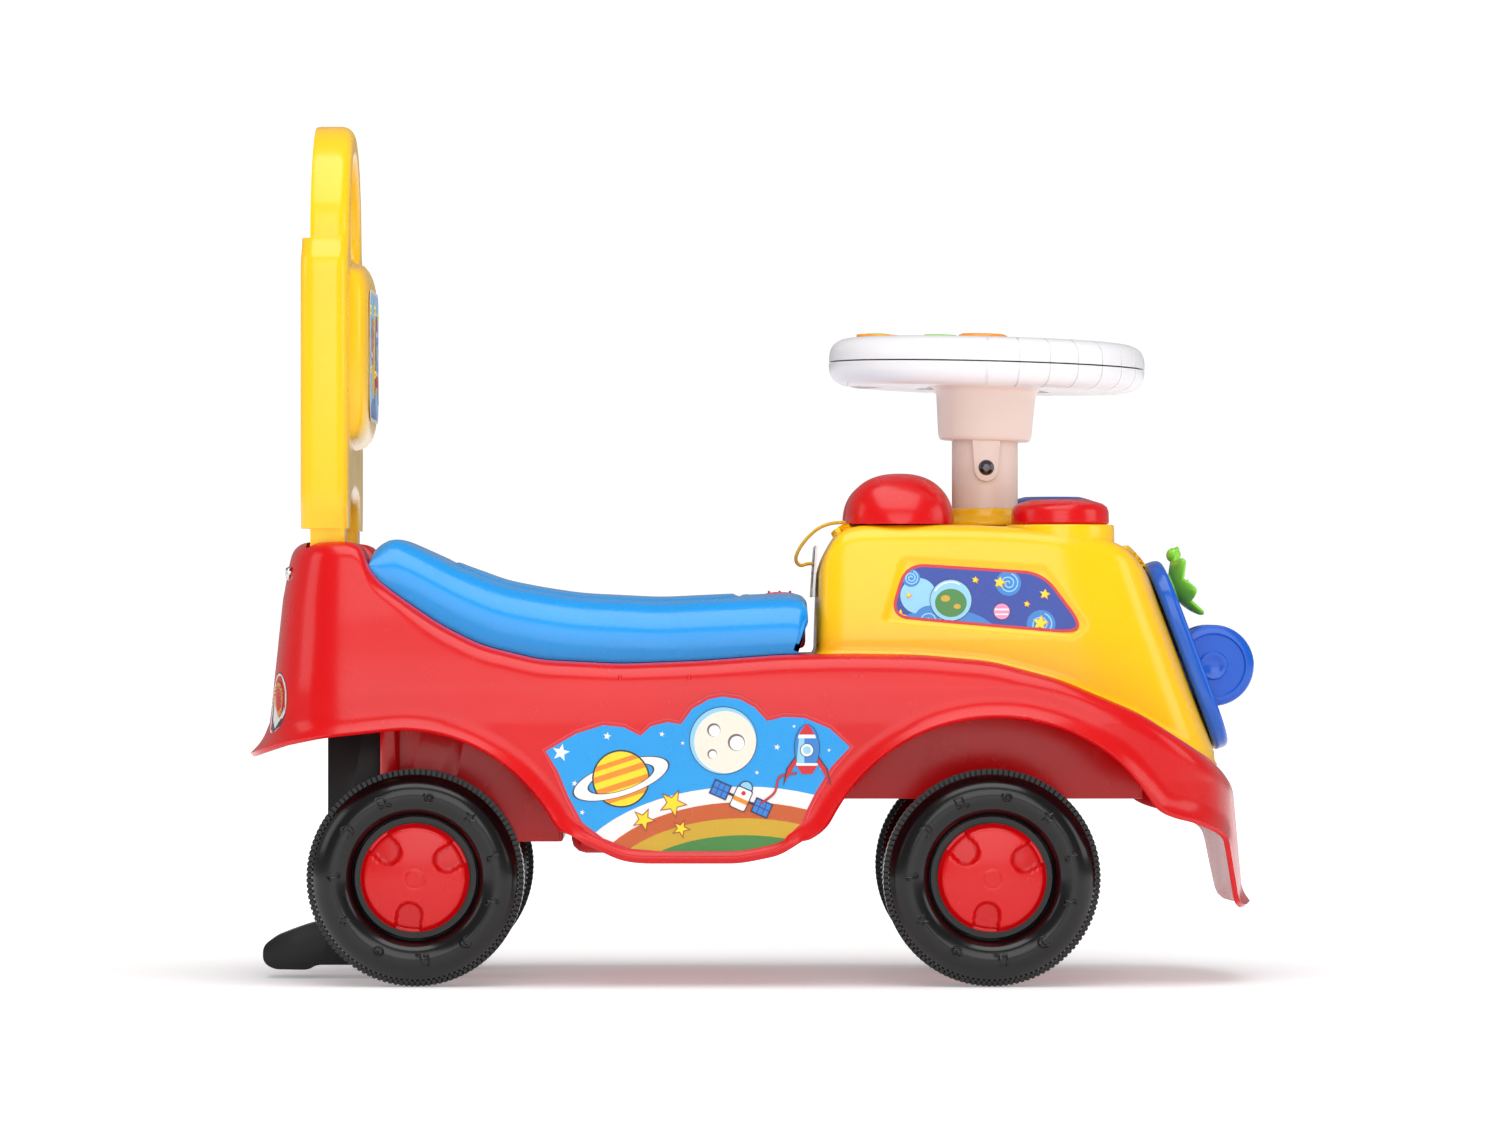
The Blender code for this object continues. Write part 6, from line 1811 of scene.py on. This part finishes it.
class PUSHCAR_OT_steering(PieceOperator, bpy.types.Operator):
    """Build the steering wheel with its column, buttons and screw"""
    bl_idname = "pushcar.steering"
    bl_label = "Steering wheel"

    def build(self, sizes):
        lower = make_wheel_lower()
        finish(lower, "steering", "white_satin", 35, ("wheel_lower_shell",))
        # The socket is the same white plastic as the lower shell; its cream finish is painted warm
        # reflection.
        finish(make_boss(), "steering", "cream_satin", 35)
        finish(make_wheel_upper(), "steering", "white_satin", 35, ("wheel_upper_shell",))
        button_ring = ring("button_surround", 0.0092, 0.0122, RIM_TOP_Z - 0.0010, RIM_TOP_Z + 0.0021, 56,
            (RIM_X - 0.0620, 0, 0), "Z", 0.0007)
        finish(moved(button_ring, tilt()), "steering", "orange_gloss", 35,
            ("rim_button_ring",))
        for name, (_, _, _, _, look, slot) in BUTTONS.items():
            finish(make_button(name), name, look, 35, (name,))
        finish(make_column(), "steering", "cream_satin", 35, ("steering_column",))
        finish(make_column_screw(), "steering", "dark_steel", 30, ("column_screw",))
        base = BONNET_TOP_Z + 0.0001
        collar = turned("collar_moulding", [tuple(p) for p in rounded([(COLUMN_RADIUS + 0.0010, base),
            (0.0252, base), (0.0252, base + 0.0022), (0.0222, base + 0.0050), (0.0215, base + 0.0096),
            (COLUMN_RADIUS + 0.0010, base + 0.0096)], 0.0010, 3, closed=True)], 72, (STEER_X, 0, 0))
        finish(collar, "chassis", "yellow_gloss", 35, ("column_collar",))


class PUSHCAR_OT_cord(PieceOperator, bpy.types.Operator):
    """Build the handset's tether cord"""
    bl_idname = "pushcar.cord"
    bl_label = "Tether cord"

    def build(self, sizes):
        cord, points, length = make_cord(sizes)
        cord.data.materials.clear()
        cord.data.materials.append(cord_material())
        finish(cord, "chassis", None, 40, ("handset_cord",))
        [tuple(p) for p in points]


NODE_FINISHES = {
    "white_satin": ("dash_panel", "battery_door"),
    "cream_satin": ("steering_yoke",),
    "moulded_black": ("speaker",),
    "circuit_board": ("circuit_board",),
    "cell_wrap": ("battery_1", "battery_2"),
}


class PUSHCAR_OT_fittings(PieceOperator, bpy.types.Operator):
    """Give the axles, pins, screws and electrics their finishes"""
    bl_idname = "pushcar.fittings"
    bl_label = "Fittings"

    def build(self, sizes):
        named = {node: look for look, nodes in NODE_FINISHES.items() for node in nodes}
        by_slot = {"steel": "bright_steel", "white_plastic": "white_satin",
            "black_plastic": "moulded_black", "cream_plastic": "cream_satin", "red_plastic": "red_gloss",
            "yellow_plastic": "yellow_gloss", "deep_blue_plastic": "blue_gloss",
            "sky_blue_plastic": "sky_gloss", "green_plastic": "green_gloss",
            "orange_plastic": "orange_gloss", "circuit_green": "circuit_board",
            "battery_wrap": "cell_wrap"}
        for part in frame["record"]["subparts"]:
            node = part["node"]
            if not frame["nodes"][node].hide_render:
                finish_node(node, named.get(node) or by_slot[part["material_slot"]])


class PUSHCAR_OT_stage(bpy.types.Operator):
    """Set up the floor, camera and lights"""
    bl_idname = "pushcar.stage"
    bl_label = "Stage"
    bl_options = {"REGISTER", "UNDO"}

    def execute(self, context):
        clear_selection()
        settings = context.scene.push_car_stage
        white = bpy.data.materials.new("studio_white")
        white.use_nodes = True
        shader = white.node_tree.nodes["Principled BSDF"]
        shader.inputs["Base Color"].default_value = (0.90, 0.895, 0.90, 1.0)
        shader.inputs["Roughness"].default_value = 0.6
        shader.inputs["Specular IOR Level"].default_value = 0.1
        shader.inputs["Emission Color"].default_value = (1.0, 0.99, 1.0, 1.0)
        nodes, links = white.node_tree.nodes, white.node_tree.links
        place, reach, glow = (nodes.new(kind) for kind in ("ShaderNodeTexCoord", "ShaderNodeVectorMath",
            "ShaderNodeMapRange"))
        reach.operation = "LENGTH"
        for socket, value in (("From Min", 0.20), ("From Max", 1.4), ("To Min", 0.26), ("To Max", 0.95)):
            glow.inputs[socket].default_value = value
        links.new(place.outputs["Object"], reach.inputs[0])
        links.new(reach.outputs["Value"], glow.inputs["Value"])
        links.new(glow.outputs["Result"], shader.inputs["Emission Strength"])
        bpy.ops.mesh.primitive_circle_add(vertices=96, radius=40.0, fill_type="NGON", location=(0, 0,
            -0.0002))
        floor = context.object
        floor.name = "floor"
        bpy.ops.object.transform_apply(location=True, rotation=True, scale=True)
        floor.data.materials.append(white)
        for name, place, aim, size, power in (("overhead_softbox", (0.0, -0.55, 1.75), (0.0, 0.0, 0.15),
                1.5, settings.key_power), ("right_fill", (0.10, -4.5, 1.75), (0.0, 0.0, 0.15), 2.8,
                settings.fill_power * 3.2), ("front_fill", (2.1, -0.5, 0.9), (0.0, 0.0, 0.18), 1.0,
                settings.fill_power * 0.35), ("rear_fill", (-2.0, -0.3, 1.0), (0.0, 0.0, 0.18), 1.0,
                settings.fill_power * 0.25)):
            bpy.ops.object.light_add(type="AREA", location=place)
            light = context.object
            light.name = name
            light.rotation_euler = (Vector(aim) - Vector(place)).to_track_quat("-Z", "Y").to_euler()
            light.data.size = size
            light.data.energy = power

        world = bpy.data.worlds.new("studio_world")
        world.use_nodes = True
        nodes, links = world.node_tree.nodes, world.node_tree.links
        lighting, behind = nodes["Background"], nodes.new("ShaderNodeBackground")
        seen, blend = nodes.new("ShaderNodeLightPath"), nodes.new("ShaderNodeMixShader")
        lighting.inputs["Color"].default_value = (1.0, 1.0, 1.0, 1.0)
        lighting.inputs["Strength"].default_value = settings.world_strength
        behind.inputs["Strength"].default_value = 1.05
        behind.inputs["Color"].default_value = (1.0, 1.0, 1.0, 1.0)
        links.new(seen.outputs["Is Camera Ray"], blend.inputs["Fac"])
        links.new(lighting.outputs["Background"], blend.inputs[1])
        links.new(behind.outputs["Background"], blend.inputs[2])
        links.new(blend.outputs["Shader"], nodes["World Output"].inputs["Surface"])
        context.scene.world = world
        context.scene.view_settings.view_transform = "Standard"

        bpy.ops.object.camera_add(location=(-0.019, -settings.camera_distance, 0.2077),
            rotation=(math.radians(90), 0, 0))
        camera = context.object
        camera.name = "side_camera"
        camera.data.lens = settings.focal_length
        camera.data.sensor_width = 36.0
        camera.data.shift_x, camera.data.shift_y = 0.0187, 0.0317
        camera.data.clip_start, camera.data.clip_end = 0.05, 60.0
        context.scene.camera = camera
        clear_selection()
        return {"FINISHED"}


OPERATORS = (PUSHCAR_OT_body, PUSHCAR_OT_bonnet, PUSHCAR_OT_stickers, PUSHCAR_OT_backrest,
    PUSHCAR_OT_seat, PUSHCAR_OT_wheels, PUSHCAR_OT_toys, PUSHCAR_OT_steering, PUSHCAR_OT_cord,
    PUSHCAR_OT_fittings, PUSHCAR_OT_stage)


class PUSHCAR_PT_panel(bpy.types.Panel):
    """Settings and steps of the push car"""
    bl_label = "Push Car"
    bl_idname = "PUSHCAR_PT_panel"
    bl_space_type = "VIEW_3D"
    bl_region_type = "UI"
    bl_category = "Push Car"

    def draw(self, context):
        for group in (context.scene.push_car_colours, context.scene.push_car_sizes,
                context.scene.push_car_stage):
            box = self.layout.box()
            for name in group.bl_rna.properties.keys():
                if name not in ("rna_type", "name"):
                    box.prop(group, name)
        for operator in OPERATORS:
            self.layout.operator(operator.bl_idname)


CLASSES = (PushCarColours, PushCarSizes, PushCarStage) + OPERATORS + (PUSHCAR_PT_panel,)


def register():
    """Add the classes and the scene settings."""
    for one in CLASSES:
        bpy.utils.register_class(one)
    bpy.types.Scene.push_car_colours = bpy.props.PointerProperty(type=PushCarColours)
    bpy.types.Scene.push_car_sizes = bpy.props.PointerProperty(type=PushCarSizes)
    bpy.types.Scene.push_car_stage = bpy.props.PointerProperty(type=PushCarStage)


def unregister():
    """Take the classes and the scene settings away."""
    for name in ("push_car_colours", "push_car_sizes", "push_car_stage"):
        delattr(bpy.types.Scene, name)
    for one in reversed(CLASSES):
        bpy.utils.unregister_class(one)


def main():
    register()
    for operator in OPERATORS:
        step = operator.bl_idname.split(".")[1]
        if getattr(bpy.ops.pushcar, step)() != {"FINISHED"}:
            raise RuntimeError(f"{operator.bl_label} was not finished")


if __name__ == "__main__":
    main()
